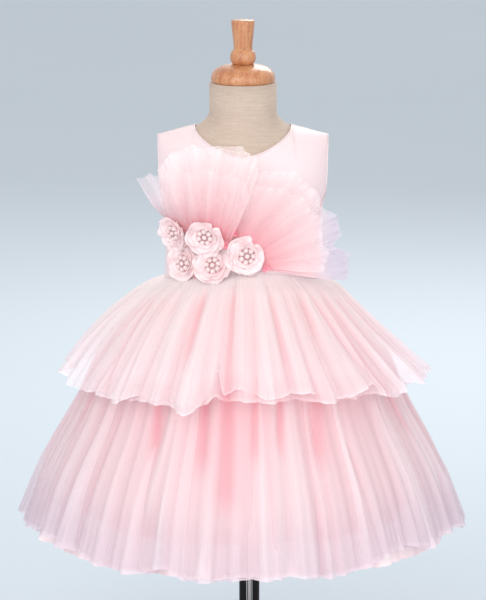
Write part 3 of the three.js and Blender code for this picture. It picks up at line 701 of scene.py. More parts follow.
@dataclass
class Bodice:
    """The satin bodice: a front, two back halves and the zip between them."""

    finishes: Finishes
    cut: BodiceCut = field(default_factory=BodiceCut)
    columns: int = 68
    rows: int = 40
    satin: float = 0.0012
    seam_half: float = 0.00015
    pucker: float = 0.0005
    zip_half: float = 0.0032
    zip_room: float = 0.0035
    zip_top: float = 0.715
    tooth_pitch: float = 0.0017
    front_flat: tuple = (0.27, 0.2)
    front_share: float = 0.78
    back_flat: tuple = (0.135, 0.19)
    back_share: float = 0.8
    tape_flat: tuple = (0.0115, 0.18)
    tape_area: float = 0.0012

    def _grid(self, shares: list, front: bool) -> np.ndarray:
        """Points of the outer face, columns first, at the given places; negative ones are on the -X side."""
        points = np.zeros((len(shares), self.rows + 1, 3))
        for i, share in enumerate(shares):
            for j in range(self.rows + 1):
                spot = self.cut.point(abs(share), j / self.rows, front)
                wave = math.sin(9 * share + 5 * spot.z / 0.05) * math.sin(31 * spot.z + 4 * share)
                deep = spot.y + self.pucker * wave * (1 - abs(share)) * min(1, 4 * j / self.rows)
                points[i, j] = (math.copysign(spot.x, share), max(deep, self.seam_half), spot.z)
        return points

    def _declare(self, piece: bpy.types.Object, flat: tuple, under: str, area: float) -> None:
        """Takes a stretched sheet with its flat size, what it rests on and its cut's area, and does nothing
        with them.
        """

    def _tint_and_shade(self, points: np.ndarray) -> np.ndarray:
        """How pink the satin looks: a base pink, and painted shade a little deeper low down and at the sides.
        """
        low = 1 - smoothstep(0.56, 0.7, points[..., 2])
        side = smoothstep(0.06, 0.105, np.abs(points[..., 0]))
        return 0.2 + 0.1 * low + 0.25 * side

    def front(self) -> None:
        """Makes the front from side seam to side seam."""
        half = self.cut.shares(self.columns)
        points = self._grid([-s for s in reversed(half[1:])] + half, True)
        points[..., 1] *= -1
        piece = cloth("bodice_front_satin", points, {"tint_and_shade": self._tint_and_shade(points)})
        thicken(piece, self.satin)
        dress_piece(piece, self.finishes.satin, ("bodice_front",))
        area = self.front_share * math.prod(self.front_flat)
        self._declare(piece, self.front_flat, "form_body_linen", area)

    def back(self, hand: int) -> None:
        """Makes one half of the back, on the +X side for hand 1 and on the other for -1."""
        points = self._grid(self.cut.shares(self.columns), False)
        reach = points[-1, :, 0]
        points[..., 0] = self.zip_room + points[..., 0] * (reach - self.zip_room) / reach
        points[..., 0] *= hand
        if hand > 0:
            points = points[::-1].copy()
        side = "right" if hand > 0 else "left"
        piece = cloth(f"bodice_back_{side}_satin", points, {"tint_and_shade": self._tint_and_shade(points)})
        thicken(piece, self.satin)
        dress_piece(piece, self.finishes.satin, (f"bodice_back_{side}",))
        area = self.back_share * math.prod(self.back_flat)
        self._declare(piece, self.back_flat, "form_body_linen", area)

    def zip_tape(self) -> None:
        """Makes the tape with the coil's teeth along its middle."""
        heights = np.linspace(self.cut.waist_z + 0.0003, self.zip_top, 60)
        points = np.zeros((9, len(heights), 3))
        for i, across in enumerate(np.linspace(1, -1, 9)):
            for j, z in enumerate(heights):
                deep = self.cut.depth(0.0, float(z), False) - 0.0004
                points[i, j] = (across * self.zip_half, deep - 0.0003 * abs(across), z)
        piece = cloth("back_zip_tape", points, {"tint_and_shade": 0.3})
        thicken(piece, 0.0008)
        dress_piece(piece, self.finishes.zip, ("back_zip",))
        self._declare(piece, self.tape_flat, "bodice_back_left_satin", self.tape_area)

    def zip_teeth(self) -> None:
        """Makes the coil's teeth: small loops that Geometry Nodes set along the zip."""
        heights = np.linspace(self.cut.waist_z + 0.003, self.zip_top - 0.002, 60)
        path = [(0.0, self.cut.depth(0.0, float(z), False) + 0.0001, float(z)) for z in heights]
        tree = ToothRow().tree(self.finishes.zip_metal)
        piece = grown("back_zip_teeth", path, tree, {"Pitch": self.tooth_pitch})
        dress_piece(piece, self.finishes.zip_metal, ())

    def edges(self) -> None:
        """Makes the turned edges of the neckline and the armholes."""
        tree = EdgeRoll().tree(self.finishes.satin)
        half = self.cut.shares(self.columns)
        open_ = [share for share in half if share <= self.cut.neck_share + 1e-9]
        arm = [share for share in half if share >= self.cut.shoulder_share - 1e-9]
        pieces = []
        for hand in (-1, 1):
            sides = []
            for front in (True, False):
                way = -1 if front else 1
                tops = [self.cut.point(share, 1, front) for share in open_]
                neck = [(hand * max(p.x, 0 if front else self.zip_room), way * p.y, p.z) for p in tops]
                tops = [self.cut.point(share, 1, front) for share in arm]
                sides.append((neck, [(hand * p.x, way * p.y, p.z) for p in tops]))
            (neck_front, arm_front), (neck_back, arm_back) = sides
            lines = (neck_front + neck_back[::-1][1:], arm_front + arm_back[::-1][1:])
            pieces += [grown(f"edge_{hand}_{k}", line, tree, {}) for k, line in enumerate(lines)]
        piece = joined(pieces, "bodice_turned_edges")
        dress_piece(piece, self.finishes.satin, ())

    def hardware(self) -> None:
        """Makes the slider and its pull tab with softened edges."""
        for node, body in (("zip_slider", DRESS), ("zip_pull", TAB)):
            piece = merged_copy(node, f"{node}_metal")
            bevel = piece.modifiers.new("edges", "BEVEL")
            bevel.width = 0.0002
            bevel.segments = 2
            bevel.limit_method = "ANGLE"
            dress_piece(piece, self.finishes.zip_metal, (node,), body)

    def build(self) -> None:
        """Makes every piece of the bodice."""
        self.front()
        self.back(1)
        self.back(-1)
        self.zip_tape()
        self.zip_teeth()
        self.edges()
        self.hardware()


class Tree:
    """A Geometry Nodes tree that is built node by node."""

    def __init__(self, name: str) -> None:
        """Starts a tree with a geometry input and output."""
        self.tree = bpy.data.node_groups.new(name, "GeometryNodeTree")
        self.tree.interface.new_socket("Geometry", in_out="INPUT", socket_type="NodeSocketGeometry")
        self.tree.interface.new_socket("Geometry", in_out="OUTPUT", socket_type="NodeSocketGeometry")
        self.start = None

    def size(self, name: str, kind: str, value: float) -> str:
        """Adds a named input with its default value, and returns its name."""
        socket = self.tree.interface.new_socket(name, in_out="INPUT", socket_type=kind)
        socket.default_value = value
        return name

    def read(self, name: str) -> bpy.types.NodeSocket:
        """The named input's socket inside the tree."""
        if self.start is None:
            self.start = self.tree.nodes.new("NodeGroupInput")
        return self.start.outputs[name]

    def node(self, kind: str, settings: dict | None = None, inputs: dict | None = None) -> bpy.types.Node:
        """Adds a node with its settings and its inputs, which are values or sockets."""
        made = self.tree.nodes.new(kind)
        for name, value in (settings or {}).items():
            setattr(made, name, value)
        for key, value in (inputs or {}).items():
            if isinstance(value, bpy.types.NodeSocket):
                self.tree.links.new(value, made.inputs[key])
            else:
                made.inputs[key].default_value = value
        return made

    def close(self, instances: bpy.types.NodeSocket, finish: bpy.types.Material) -> bpy.types.NodeTree:
        """Ends the tree in Realize Instances and Set Material."""
        real = self.node("GeometryNodeRealizeInstances", None, {0: instances})
        inputs = {"Geometry": real.outputs[0], "Material": finish}
        dressed = self.node("GeometryNodeSetMaterial", None, inputs)
        end = self.tree.nodes.new("NodeGroupOutput")
        self.tree.links.new(dressed.outputs[0], end.inputs[0])
        return self.tree


def grown(
    name: str, path: list, tree: bpy.types.NodeTree, sizes: dict, place: Matrix | None = None
) -> bpy.types.Object:
    """Runs a Geometry Nodes tree on a line of points and keeps the result as a plain mesh.

    Args:
        name: the piece's name.
        path: the line's points.
        tree: the tree.
        sizes: values for the tree's named inputs.
        place: where the result goes in the row frame.

    Returns:
        The piece, with no modifier left.
    """
    mesh = bpy.data.meshes.new(name + "_path")
    mesh.from_pydata(path, [(k, k + 1) for k in range(len(path) - 1)], [])
    carrier = bpy.data.objects.new(name + "_path", mesh)
    bpy.context.scene.collection.objects.link(carrier)
    modifier = carrier.modifiers.new("grow", "NODES")
    modifier.node_group = tree
    for item in tree.interface.items_tree:
        if item.in_out == "INPUT" and item.name in sizes:
            modifier[item.identifier] = sizes[item.name]
    bpy.context.view_layer.update()
    whole = bpy.data.meshes.new_from_object(carrier.evaluated_get(bpy.context.evaluated_depsgraph_get()))
    bpy.data.objects.remove(carrier)
    whole.name = name
    if place is not None:
        whole.transform(place)
    piece = bpy.data.objects.new(name, whole)
    bpy.context.scene.collection.objects.link(piece)
    return piece


@dataclass(frozen=True)
class EdgeRoll:
    """The folded edge of the satin: a soft roll along a line."""

    radius: float = 0.0007
    sides: int = 10

    def tree(self, finish: bpy.types.Material) -> bpy.types.NodeTree:
        """Builds the tree."""
        made = Tree("satin_edge")
        radius = made.size("Radius", "NodeSocketFloat", self.radius)
        line = made.node("GeometryNodeMeshToCurve", None, {0: made.read("Geometry")})
        section = made.node(
            "GeometryNodeCurvePrimitiveCircle",
            {"mode": "RADIUS"},
            {"Resolution": self.sides, "Radius": made.read(radius)},
        )
        roll = made.node(
            "GeometryNodeCurveToMesh", None, {0: line.outputs[0], 1: section.outputs[0], "Fill Caps": True}
        )
        return made.close(roll.outputs[0], finish)


@dataclass(frozen=True)
class ToothRow:
    """Zip coil: pairs of small rounded teeth along a line."""

    width: float = 0.0034
    height: float = 0.0009
    rise: float = 0.0007

    def tree(self, finish: bpy.types.Material) -> bpy.types.NodeTree:
        """Builds the tree."""
        made = Tree("zip_coil")
        pitch = made.size("Pitch", "NodeSocketFloat", 0.0017)
        line = made.node("GeometryNodeMeshToCurve", None, {0: made.read("Geometry")})
        spots = made.node(
            "GeometryNodeResampleCurve",
            {"mode": "LENGTH"},
            {"Curve": line.outputs[0], "Length": made.read(pitch)},
        )
        tooth = made.node(
            "GeometryNodeMeshCube",
            None,
            {"Size": (self.width, self.rise, self.height), "Vertices X": 3, "Vertices Y": 2, "Vertices Z": 2},
        )
        soft = made.node("GeometryNodeSubdivisionSurface", None, {"Mesh": tooth.outputs[0], "Level": 1})
        placed = made.node(
            "GeometryNodeInstanceOnPoints", None, {"Points": spots.outputs[0], "Instance": soft.outputs[0]}
        )
        return made.close(placed.outputs[0], finish)


@dataclass(frozen=True)
class Ring:
    """One height of a tier: its drop below the waist, its mean reach, its folds' height and its rise."""

    drop: float
    side: float
    front: float
    back: float
    fold: float
    rise: float


@dataclass(frozen=True)
class Crease:
    """A soft trough or ridge that runs down a tier.

    Angles are in degrees from the front, drops and sizes in metres; a positive depth is a ridge. The last
    value is how much pinker it is than the cloth beside it: painted shade in a trough, and a painted
    highlight where it is negative.
    """

    angle: float
    end_angle: float
    drop: float
    end_drop: float
    width: float
    depth: float
    tint_and_shade: float

    def moved(self, turn: float, mirror: int) -> "Crease":
        """The like crease on a hidden side, turned round the skirt and mirrored where mirror is -1."""
        return replace(self, angle=turn + mirror * self.angle, end_angle=turn + mirror * self.end_angle)

    def weight(self, angle: np.ndarray, drop: np.ndarray, radius: np.ndarray) -> np.ndarray:
        """How strongly the crease works at each point.

        Args:
            angle: the points' angles, in radians.
            drop: their drops below the waist.
            radius: their distances from the middle.

        Returns:
            Shares from 0 to 1.
        """
        share = np.clip((drop - self.drop) / (self.end_drop - self.drop), 0, 1)
        centre = np.radians(self.angle + (self.end_angle - self.angle) * share)
        apart = (angle - centre + math.pi) % FULL_TURN - math.pi
        across = np.exp(-((apart * radius / (self.width * (0.55 + 0.45 * share))) ** 2))
        fade = 0.014
        along = smoothstep(self.drop - fade, self.drop + fade, drop)
        return across * along * (1 - smoothstep(self.end_drop - fade, self.end_drop + 2 * fade, drop))


UPPER_RINGS = (
    Ring(0.0004, 0.0975, 0.078, 0.062, 0.0, 1.0),
    Ring(0.009, 0.117, 0.099, 0.085, 0.0026, 0.95),
    Ring(0.03, 0.145, 0.133, 0.125, 0.0045, 0.85),
    Ring(0.068, 0.184, 0.178, 0.174, 0.006, 0.7),
    Ring(0.119, 0.226, 0.225, 0.224, 0.008, 0.55),
)
LOWER_RINGS = (
    Ring(0.0021, 0.0964, 0.0769, 0.0609, 0.0, 1.0),
    Ring(0.032, 0.126, 0.112, 0.103, 0.003, 0.85),
    Ring(0.091, 0.179, 0.173, 0.168, 0.0045, 0.6),
    Ring(0.15, 0.204, 0.202, 0.2, 0.006, 0.4),
    Ring(0.232, 0.247, 0.246, 0.246, 0.007, 0.2),
    Ring(0.311, 0.276, 0.276, 0.276, 0.008, 0.0),
)
UNDER_RINGS = (
    Ring(0.0037, 0.0947, 0.0752, 0.0592, 0.0, 1.0),
    Ring(0.062, 0.14, 0.128, 0.122, 0.002, 0.7),
    Ring(0.152, 0.186, 0.184, 0.182, 0.003, 0.4),
    Ring(0.316, 0.262, 0.262, 0.262, 0.0035, 0.0),
)
LINING_RINGS = (
    Ring(0.0051, 0.0932, 0.0736, 0.0576, 0.0, 1.0),
    Ring(0.062, 0.118, 0.106, 0.1, 0.001, 0.7),
    Ring(0.15, 0.152, 0.15, 0.148, 0.002, 0.4),
    Ring(0.29, 0.206, 0.206, 0.206, 0.003, 0.0),
)
# The creases' last column paints shade into the troughs and, where negative, a highlight onto the ridges.
UPPER_CREASES = (
    Crease(-64, -64, 0.006, 0.04, 0.004, -0.003, 0.2),
    Crease(-55, -48, 0.012, 0.125, 0.0055, -0.005, 0.3),
    Crease(-43, -40, 0.01, 0.112, 0.0055, -0.005, 0.3),
    Crease(-31, -27, 0.02, 0.125, 0.012, 0.004, -0.15),
    Crease(-21.5, -20, 0.014, 0.075, 0.009, -0.005, 0.55),
    Crease(-17.5, -18, 0.02, 0.11, 0.009, 0.005, -0.25),
    Crease(-5, -5.5, 0.004, 0.11, 0.0045, -0.0045, 0.4),
    Crease(12, 8, 0.0, 0.12, 0.012, 0.005, -0.3),
    Crease(14.5, 16.5, 0.01, 0.09, 0.005, -0.0045, 0.35),
    Crease(37, 32, 0.0, 0.06, 0.0045, -0.0035, 0.25),
    Crease(50, 52, 0.02, 0.125, 0.006, -0.0035, 0.2),
)
LOWER_CREASES = (
    Crease(-33, -30, 0.1, 0.175, 0.007, -0.003, 0.5),
    Crease(-25, -27, 0.12, 0.24, 0.007, 0.004, -0.25),
    Crease(-14, -13, 0.1, 0.19, 0.01, -0.0035, 0.5),
    Crease(-6, -5, 0.09, 0.23, 0.017, -0.003, 0.45),
    Crease(5, 4, 0.1, 0.18, 0.006, -0.003, 0.45),
    Crease(11, 10, 0.12, 0.33, 0.008, 0.0035, -0.2),
    Crease(14, 12, 0.09, 0.17, 0.005, -0.003, 0.5),
    Crease(29, 25, 0.1, 0.185, 0.012, -0.003, 0.4),
    Crease(-22, -21, 0.23, 0.33, 0.004, 0.004, -0.25),
    Crease(36, 38, 0.18, 0.33, 0.006, -0.004, 0.15),
    Crease(22, 20, 0.22, 0.33, 0.005, -0.004, 0.15),
    Crease(-47, -50, 0.14, 0.33, 0.008, -0.0035, 0.12),
    Crease(52, 56, 0.12, 0.33, 0.008, 0.0035, -0.1),
)
BACK_TURNS = ((180.0, -1), (97.0, 1), (-101.0, -1))


@dataclass(frozen=True)
class HemMark:
    """How far a hem is lifted at one angle, in degrees and metres."""

    angle: float
    lift: float


UPPER_HEM = (
    HemMark(-90, 0.013),
    HemMark(-74, 0.004),
    HemMark(-62.7, -0.008),
    HemMark(-52, -0.002),
    HemMark(-41.6, -0.008),
    HemMark(-36.4, 0.001),
    HemMark(-25.2, -0.005),
    HemMark(-14.6, -0.011),
    HemMark(-11.2, 0.006),
    HemMark(-8.6, 0.030),
    HemMark(-6.6, 0.010),
    HemMark(-2.1, 0.011),
    HemMark(7.9, 0.001),
    HemMark(21.2, 0.008),
    HemMark(30.3, 0.0),
    HemMark(47.6, 0.007),
    HemMark(54.8, -0.008),
    HemMark(62, 0.002),
    HemMark(76, -0.009),
    HemMark(90, -0.007),
    HemMark(104, -0.006),
    HemMark(117, 0.006),
    HemMark(131, -0.008),
    HemMark(142, 0.002),
    HemMark(155, -0.006),
    HemMark(164, 0.012),
    HemMark(169, 0.024),
    HemMark(174, 0.004),
    HemMark(189, -0.007),
    HemMark(203, 0.005),
    HemMark(221, -0.006),
    HemMark(234, 0.007),
    HemMark(250, -0.002),
    HemMark(270, 0.013),
)


@dataclass(frozen=True)
class LooseFold:
    """A soft wave over the regular gathers: how many go round, how deep they are, and how they lean."""

    count: int
    size: float
    lean: float


LOOSE_FOLDS = (
    LooseFold(13, 0.6, 0.5),
    LooseFold(19, 0.62, -0.8),
    LooseFold(29, 0.55, 0.9),
    LooseFold(37, 0.34, -1.1),
    LooseFold(61, 0.18, 1.2),
    LooseFold(89, 0.09, -1.4),
)

LOWER_HEM = (
    HemMark(-90, -0.001),
    HemMark(-66, 0.011),
    HemMark(-45, 0.006),
    HemMark(-25, 0.001),
    HemMark(-21, 0.007),
    HemMark(-17, 0.0),
    HemMark(0, -0.002),
    HemMark(30, 0.001),
    HemMark(45, 0.014),
    HemMark(57, 0.01),
    HemMark(72, 0.007),
    HemMark(90, -0.004),
    HemMark(113, 0.004),
    HemMark(136, -0.003),
    HemMark(158, 0.003),
    HemMark(163, 0.008),
    HemMark(168, 0.0),
    HemMark(192, -0.003),
    HemMark(221, 0.005),
    HemMark(247, -0.002),
    HemMark(270, -0.001),
)


@dataclass(frozen=True)
class Layer:
    """One layer of a gathered tier: its form, folds and how pink it is, with painted shade and light."""

    name: str
    rings: tuple
    folds: int
    seed: float
    nodes: tuple
    inset: float = 0.0
    longer: float = 0.0
    creases: tuple = ()
    hem: tuple = ()
    hem_share: float = 1.0
    ragged: float = 0.0012
    flutter: float = 0.0014
    gather: float = 0.0007
    crisp: float = 0.55
    regular: float = 0.27
    loose: float = 0.85
    puff: float = 0.0
    puff_left: float = 0.0
    allowance: float = 0.003
    # The base pink, then painted marks: shade in the folds' valleys, the upper tier's shadow below its hem,
    # shade towards the hem, a lavender shade low down, light on the -X side, and a lavender shade at the
    # sides.
    tint_and_shade: float = 0.2
    valley: float = 0.35
    crown: float = 0.0
    low_tint_and_shade: float = 0.0
    low_lavender_shade: float = 0.0
    painted_light_left: float = 0.0
    lavender_shade: float = 0.0
    dense: float = 0.0
    columns: int = 720
    rows: int = 44
    row_spread: float = 1.12

    def phase(self, angle: np.ndarray) -> np.ndarray:
        """The folds' phase, which runs unevenly round the skirt as the solid's does."""
        drift = 2 * np.sin(3 * angle + self.seed) + 1.2 * np.sin(5 * angle + 2 * self.seed)
        return self.folds * angle + drift - 2 * math.sin(self.seed) - 1.2 * math.sin(2 * self.seed)

    def wave(self, angle: np.ndarray, down: np.ndarray) -> np.ndarray:
        """The folds themselves, about -1 in a valley to 1 on a ridge.

        Args:
            angle: the points' angles, in radians.
            down: how far down the layer they lie, from 0 to 1.

        Returns:
            The solid's own folds, uneven in depth and with one steep side, under the looser ones.
        """
        deep = 0.55 + 0.3 * np.sin(4 * angle + 1.3 * self.seed) + 0.35 * np.sin(9 * angle + self.seed)
        turn = self.phase(angle)
        lean = self.crisp * np.sin(turn + 2.1 * np.sin(2 * angle + self.seed))
        own = deep * np.cos(turn + lean + 0.7 * down * np.sin(6 * angle + self.seed))
        loose = sum(
            f.size * np.cos(f.count * angle + f.lean * down + f.count * self.seed) for f in LOOSE_FOLDS
        )
        return self.regular * own + self.loose * loose

    def lift(self, angle: np.ndarray) -> np.ndarray:
        """How far the hem is lifted at each angle, in metres."""
        own = self.ragged * (np.sin(5 * angle + 1) + 0.7 * np.sin(11 * angle) + 0.5 * np.sin(23 * angle + 2))
        nick = 0.0012 * np.maximum(0, np.sin(67 * angle + 3 * np.sin(4 * angle + self.seed))) ** 4
        if not self.hem:
            return own + nick
        keys = [mark.angle for mark in self.hem]
        turned = (np.degrees(angle) + 90) % 360 - 90
        return own + nick + self.hem_share * through(keys, [mark.lift for mark in self.hem], turned)

    def form(self) -> tuple:
        """Works out the layer's points and the numbers that its material reads.

        Returns:
            The grid of points, and the values by name.
        """
        angle = np.linspace(0, FULL_TURN, self.columns, endpoint=False)[:, None]
        up = np.linspace(0, 1, self.rows)[None, :]
        down = 1 - up
        drops = [ring.drop for ring in self.rings]
        full = drops[-1] + self.longer - self.lift(angle) * smoothstep(0.55, 1.0, down)
        drop = drops[0] + (full - drops[0]) * down**self.row_spread
        read = lambda column: through(drops, [getattr(r, column) for r in self.rings], drop)
        forward = np.cos(angle)
        slim = self.inset * smoothstep(0.0, 0.35, down)
        wave = self.wave(angle, down)
        fold = read("fold") * wave * (0.55 + 0.45 * down)
        reach = read("side")
        half = self.phase(angle)
        second = 0.14 * np.sin(2.0 * half + 1.7 * np.sin(3 * angle + self.seed)) * smoothstep(0.25, 0.9, down)
        puff = (self.puff - self.puff_left * np.sin(angle)) * np.sin(math.pi * down)
        near_waist = np.exp(-drop / 0.05) * smoothstep(0.0, 0.05, down)
        fine = self.gather * np.sin(3.1 * half + self.seed) * near_waist
        ripple = np.sin(2.9 * half + 2.0 * np.sin(7 * angle)) * (0.6 + 0.6 * np.sin(8 * angle + self.seed))
        flutter = self.flutter * ripple * smoothstep(0.8, 1.0, down)
        push = fold + read("fold") * second + fine + puff + flutter - slim
        # The creases' pink is painted shade in their troughs and a painted highlight on their ridges.
        pink = np.zeros_like(push)
        for crease in self.creases:
            share = crease.weight(angle, drop, reach)
            push = push + crease.depth * share
            pink = pink + crease.tint_and_shade * share
        deep = np.where(forward > 0, read("front"), read("back")) + push
        rise = BodiceCut.front_rise * np.maximum(0, forward) ** 2 * read("rise")
        points = np.stack(
            [(reach + push) * np.sin(angle), -deep * forward, BodiceCut.waist_z + rise - drop], -1
        )
        top = points[:, -1:] * (0.98, 0.98, 1.0) + (0.0, 0.0, self.allowance)
        points = np.concatenate([points, top], 1)
        # Painted shade: pinker in the folds' valleys and the creases, cut back near the waist as painted
        # light over the bodice's shadow, and deeper towards the hem; the -X side gets painted light.
        valley = np.clip(-wave * smoothstep(0.0, 0.3, down), -1.2, 1.2)
        tint_and_shade = self.tint_and_shade + self.valley * np.sign(valley) * np.abs(valley) ** 1.3 * 0.5 + pink
        tint_and_shade = tint_and_shade * (0.1 + 0.9 * smoothstep(0.0, 0.3, down)) + self.low_tint_and_shade * smoothstep(0.55, 1.0, down)
        tint_and_shade = tint_and_shade - self.painted_light_left * np.maximum(0, -np.sin(angle)) ** 0.7
        # Painted shadow of the upper tier: pinker down to its hem and fading below it.
        if self.crown:
            under = np.exp(-np.maximum(0, drop - 0.12) / 0.06)
            tint_and_shade = tint_and_shade + self.crown * under * (0.55 + 0.45 * np.abs(forward))
        # Painted lavender shade, with the backdrop's blue in it, at the sides and low down.
        lavender_shade = self.lavender_shade * (0.4 + 0.6 * np.sin(angle) ** 2) * smoothstep(0.1, 0.9, down)
        lavender_shade = lavender_shade + self.low_lavender_shade * smoothstep(0.72, 1.0, down)
        dense = self.dense + 0.12 * np.clip(wave, -1, 1) * down + 0.16 * smoothstep(0.985, 1.0, down)
        dense = dense - 0.08 * smoothstep(0.78, 0.95, down)
        dense = dense + 0.25 * (1 - smoothstep(0.0, 0.12, down))
        values = {"tint_and_shade": tint_and_shade, "lavender_shade": lavender_shade + 0 * tint_and_shade, "dense": dense}
        return points, {key: np.concatenate([value, value[:, -1:]], 1) for key, value in values.items()}


@dataclass
class Skirt:
    """The two gathered tiers, the under net and the lining."""

    finishes: Finishes
    lining_thickness: float = 0.0008

    def _layers(self) -> list:
        """The layers from the outside in, with their finish and cut."""
        hidden = tuple(c.moved(turn, way) for turn, way in BACK_TURNS for c in UPPER_CREASES)
        hidden_low = tuple(c.moved(turn, way) for turn, way in BACK_TURNS for c in LOWER_CREASES)
        net, low = self.finishes.net_upper, self.finishes.net_lower
        # The layers' painted marks: shade in the valleys, the upper tier's shadow, shade towards the hem,
        # lavender shade at the sides and low down, and light on the -X side.
        upper = Layer(
            "skirt_tier_upper_net",
            UPPER_RINGS,
            50,
            0.7,
            ("skirt_tier_upper_front", "skirt_tier_upper_back"),
            creases=UPPER_CREASES + hidden,
            hem=UPPER_HEM,
            tint_and_shade=0.12,
            lavender_shade=0.3,
            painted_light_left=0.13,
            puff=-0.004,
            puff_left=0.009,
        )
        second = replace(
            upper,
            name="skirt_tier_upper_second_net",
            nodes=(),
            seed=1.9,
            folds=43,
            inset=0.006,
            longer=0.005,
            creases=UPPER_CREASES,
            hem_share=0.35,
            tint_and_shade=0.34,
            rows=32,
            columns=600,
        )
        lower = Layer(
            "skirt_tier_lower_net",
            LOWER_RINGS,
            54,
            2.1,
            ("skirt_tier_lower_front", "skirt_tier_lower_back"),
            creases=LOWER_CREASES + hidden_low,
            hem=LOWER_HEM,
            crown=0.36,
            tint_and_shade=0.22,
            low_tint_and_shade=0.1,
            lavender_shade=0.55,
            low_lavender_shade=0.4,
            valley=0.27,
            ragged=0.0018,
            rows=60,
        )
        inner = replace(
            lower,
            name="skirt_tier_lower_second_net",
            nodes=(),
            seed=3.3,
            folds=47,
            inset=0.006,
            longer=0.004,
            creases=LOWER_CREASES,
            tint_and_shade=0.26,
            dense=0.12,
            rows=44,
            columns=600,
        )
        under = Layer(
            "skirt_under_net_cloth",
            UNDER_RINGS,
            28,
            3.6,
            ("skirt_under_net_front", "skirt_under_net_back"),
            tint_and_shade=0.3,
            crown=0.4,
            lavender_shade=0.2,
            dense=0.3,
            columns=480,
            rows=36,
        )
        return [(upper, net), (second, net), (lower, low), (inner, low), (under, low)]

    def build(self) -> None:
        """Makes the skirt's layers."""
        for layer, finish in self._layers():
            points, values = layer.form()
            piece = cloth(layer.name, points, values, ring=True)
            dress_piece(piece, finish, layer.nodes)
            self._declare(piece, points, Held.GATHERED)
        lining = Layer(
            "skirt_lining_satin",
            LINING_RINGS,
            16,
            5.2,
            ("skirt_lining_front", "skirt_lining_back"),
            tint_and_shade=0.4,
            flutter=0.001,
            gather=0.0004,
            columns=320,
            rows=28,
        )
        points, values = lining.form()
        piece = cloth(lining.name, points, values, ring=True)
        thicken(piece, self.lining_thickness)
        dress_piece(piece, self.finishes.lining, lining.nodes)
        self._declare(piece, points, Held.GATHERED)

    def _declare(self, piece: bpy.types.Object, points: np.ndarray, held: Held) -> None:
        """Works out a layer's area from its own faces and does nothing with it."""
        area = sum_area(piece)


def sum_area(piece: bpy.types.Object) -> float:
    """The area of a piece's own faces, before any thickness."""
    sizes = np.zeros(len(piece.data.polygons))
    piece.data.polygons.foreach_get("area", sizes)
    return round(float(sizes.sum()), 4)


@dataclass(frozen=True)
class Fan:
    """A fan of pleated net: gathered on a short base line and open at its wavy edge."""

    name: str
    base: tuple
    edge: tuple
    base_lift: float
    edge_lift: float
    pleats: int
    pleat: float
    tint_and_shade: float
    lavender_shade: float
    lobes: float = 5.0
    glow: float = 0.5
    glow_width: float = 0.4
    heart: float = 0.75
    painted_pleat_shade: float = 0.6
    rim: float = 0.12
    sheer: float = 0.12
    frill: float = 0.0011
    seed: float = 0.0

    def depth(self, x: np.ndarray, z: np.ndarray, open_: np.ndarray, cut: BodiceCut) -> np.ndarray:
        """How far before the middle plane the cloth lies, on the bodice at the base and wider at the edge."""
        near = np.vectorize(lambda a, b: cut.depth(min(abs(a), 0.0965), min(b, cut.chest_z), True))(x, z)
        far = 0.082 * np.sqrt(np.maximum(0, 1 - (x / 0.14) ** 2))
        return np.maximum(near, near + (far - near) * smoothstep(0, 1, open_ * 1.6))

    def form(self, cut: BodiceCut, sink: float, grow: float, shift: float) -> tuple:
        """Works out one layer of the fan.

        Args:
            cut: the bodice that it lies on.
            sink: how far behind the fan's own face the layer lies.
            grow: how much further out than the fan's edge it reaches, as a share.
            shift: how far its pleats are moved sideways, in pleats.

        Returns:
            The grid of points, and the values by name.
        """
        across, rows = 220, 36
        share = np.linspace(0, 1, across + 1)[:, None]
        open_ = 1 - (1 - np.linspace(0, 1, rows + 1)[None, :]) ** 1.5
        (x0, z0), (x1, z1) = self.base
        keys = np.linspace(0, 1, len(self.edge))
        edge_x = through(keys, [p[0] for p in self.edge], share)
        edge_z = through(keys, [p[1] for p in self.edge], share)
        base_x, base_z = x0 + (x1 - x0) * share, z0 + (z1 - z0) * share
        turn = FULL_TURN * (self.pleats * share + shift) + 1.5 * np.sin(8.3 * share + self.seed)
        narrow = np.cos(turn + 0.6 * np.sin(turn))
        uneven = 0.55 + 0.45 * np.sin(17 * share + 2 * self.seed) * np.cos(6 * share + self.seed)
        drift = self.seed + 0.9 * np.sin(7 * share + self.seed)
        lobe = FULL_TURN * (self.lobes * share + 0.4 * shift) + drift
        broad = np.cos(lobe + 0.4 * np.sin(lobe))
        scallop = 0.02 * broad + 0.006 * narrow * uneven + grow
        reach = open_ * (1 + scallop * smoothstep(0.4, 1, open_))
        x = base_x + (edge_x - base_x) * reach
        z = base_z + (edge_z - base_z) * reach
        gathered = np.exp(-((open_ / 0.5) ** 2))
        crimp = (1 + narrow) * uneven * (0.25 + 0.75 * gathered)
        fold = 0.5 * self.pleat * (crimp * open_**0.6 + 1.1 * (1 + broad) * (1 - gathered))
        frill = self.frill * np.sin(1.7 * turn + 3 * np.sin(5 * share)) * smoothstep(0.85, 1, open_)
        lift = self.base_lift + (self.edge_lift - self.base_lift) * open_
        y = -self.depth(x, z, open_, cut) - lift - fold - frill + sink
        glow = 0.35 + 0.65 * np.exp(-(((share - self.glow) / self.glow_width) ** 2))
        # Pinker at the gathered base; across the pleats the ridges get a painted highlight and the valleys
        # painted shade.
        tint_and_shade = self.tint_and_shade * (1 - 0.75 * open_) + self.heart * np.exp(-((open_ / 0.42) ** 1.5)) * glow
        tint_and_shade = tint_and_shade - self.painted_pleat_shade * (0.26 * narrow * uneven * gathered + 0.08 * broad * (1 - gathered))
        # A painted lavender shade on the outer lobes, with the backdrop's blue in it.
        lavender_shade = self.lavender_shade * smoothstep(0.078, 0.115, np.abs(x)) + 0 * tint_and_shade
        dense = 0.05 * broad + self.rim * smoothstep(0.975, 1.0, open_) + 0.3 * np.exp(-open_ / 0.12)
        dense = dense - self.sheer * smoothstep(0.45, 0.9, open_) + 0.3 * lavender_shade
        return np.stack([x, y + 0 * x, z], -1), {"tint_and_shade": tint_and_shade, "lavender_shade": lavender_shade, "dense": dense}


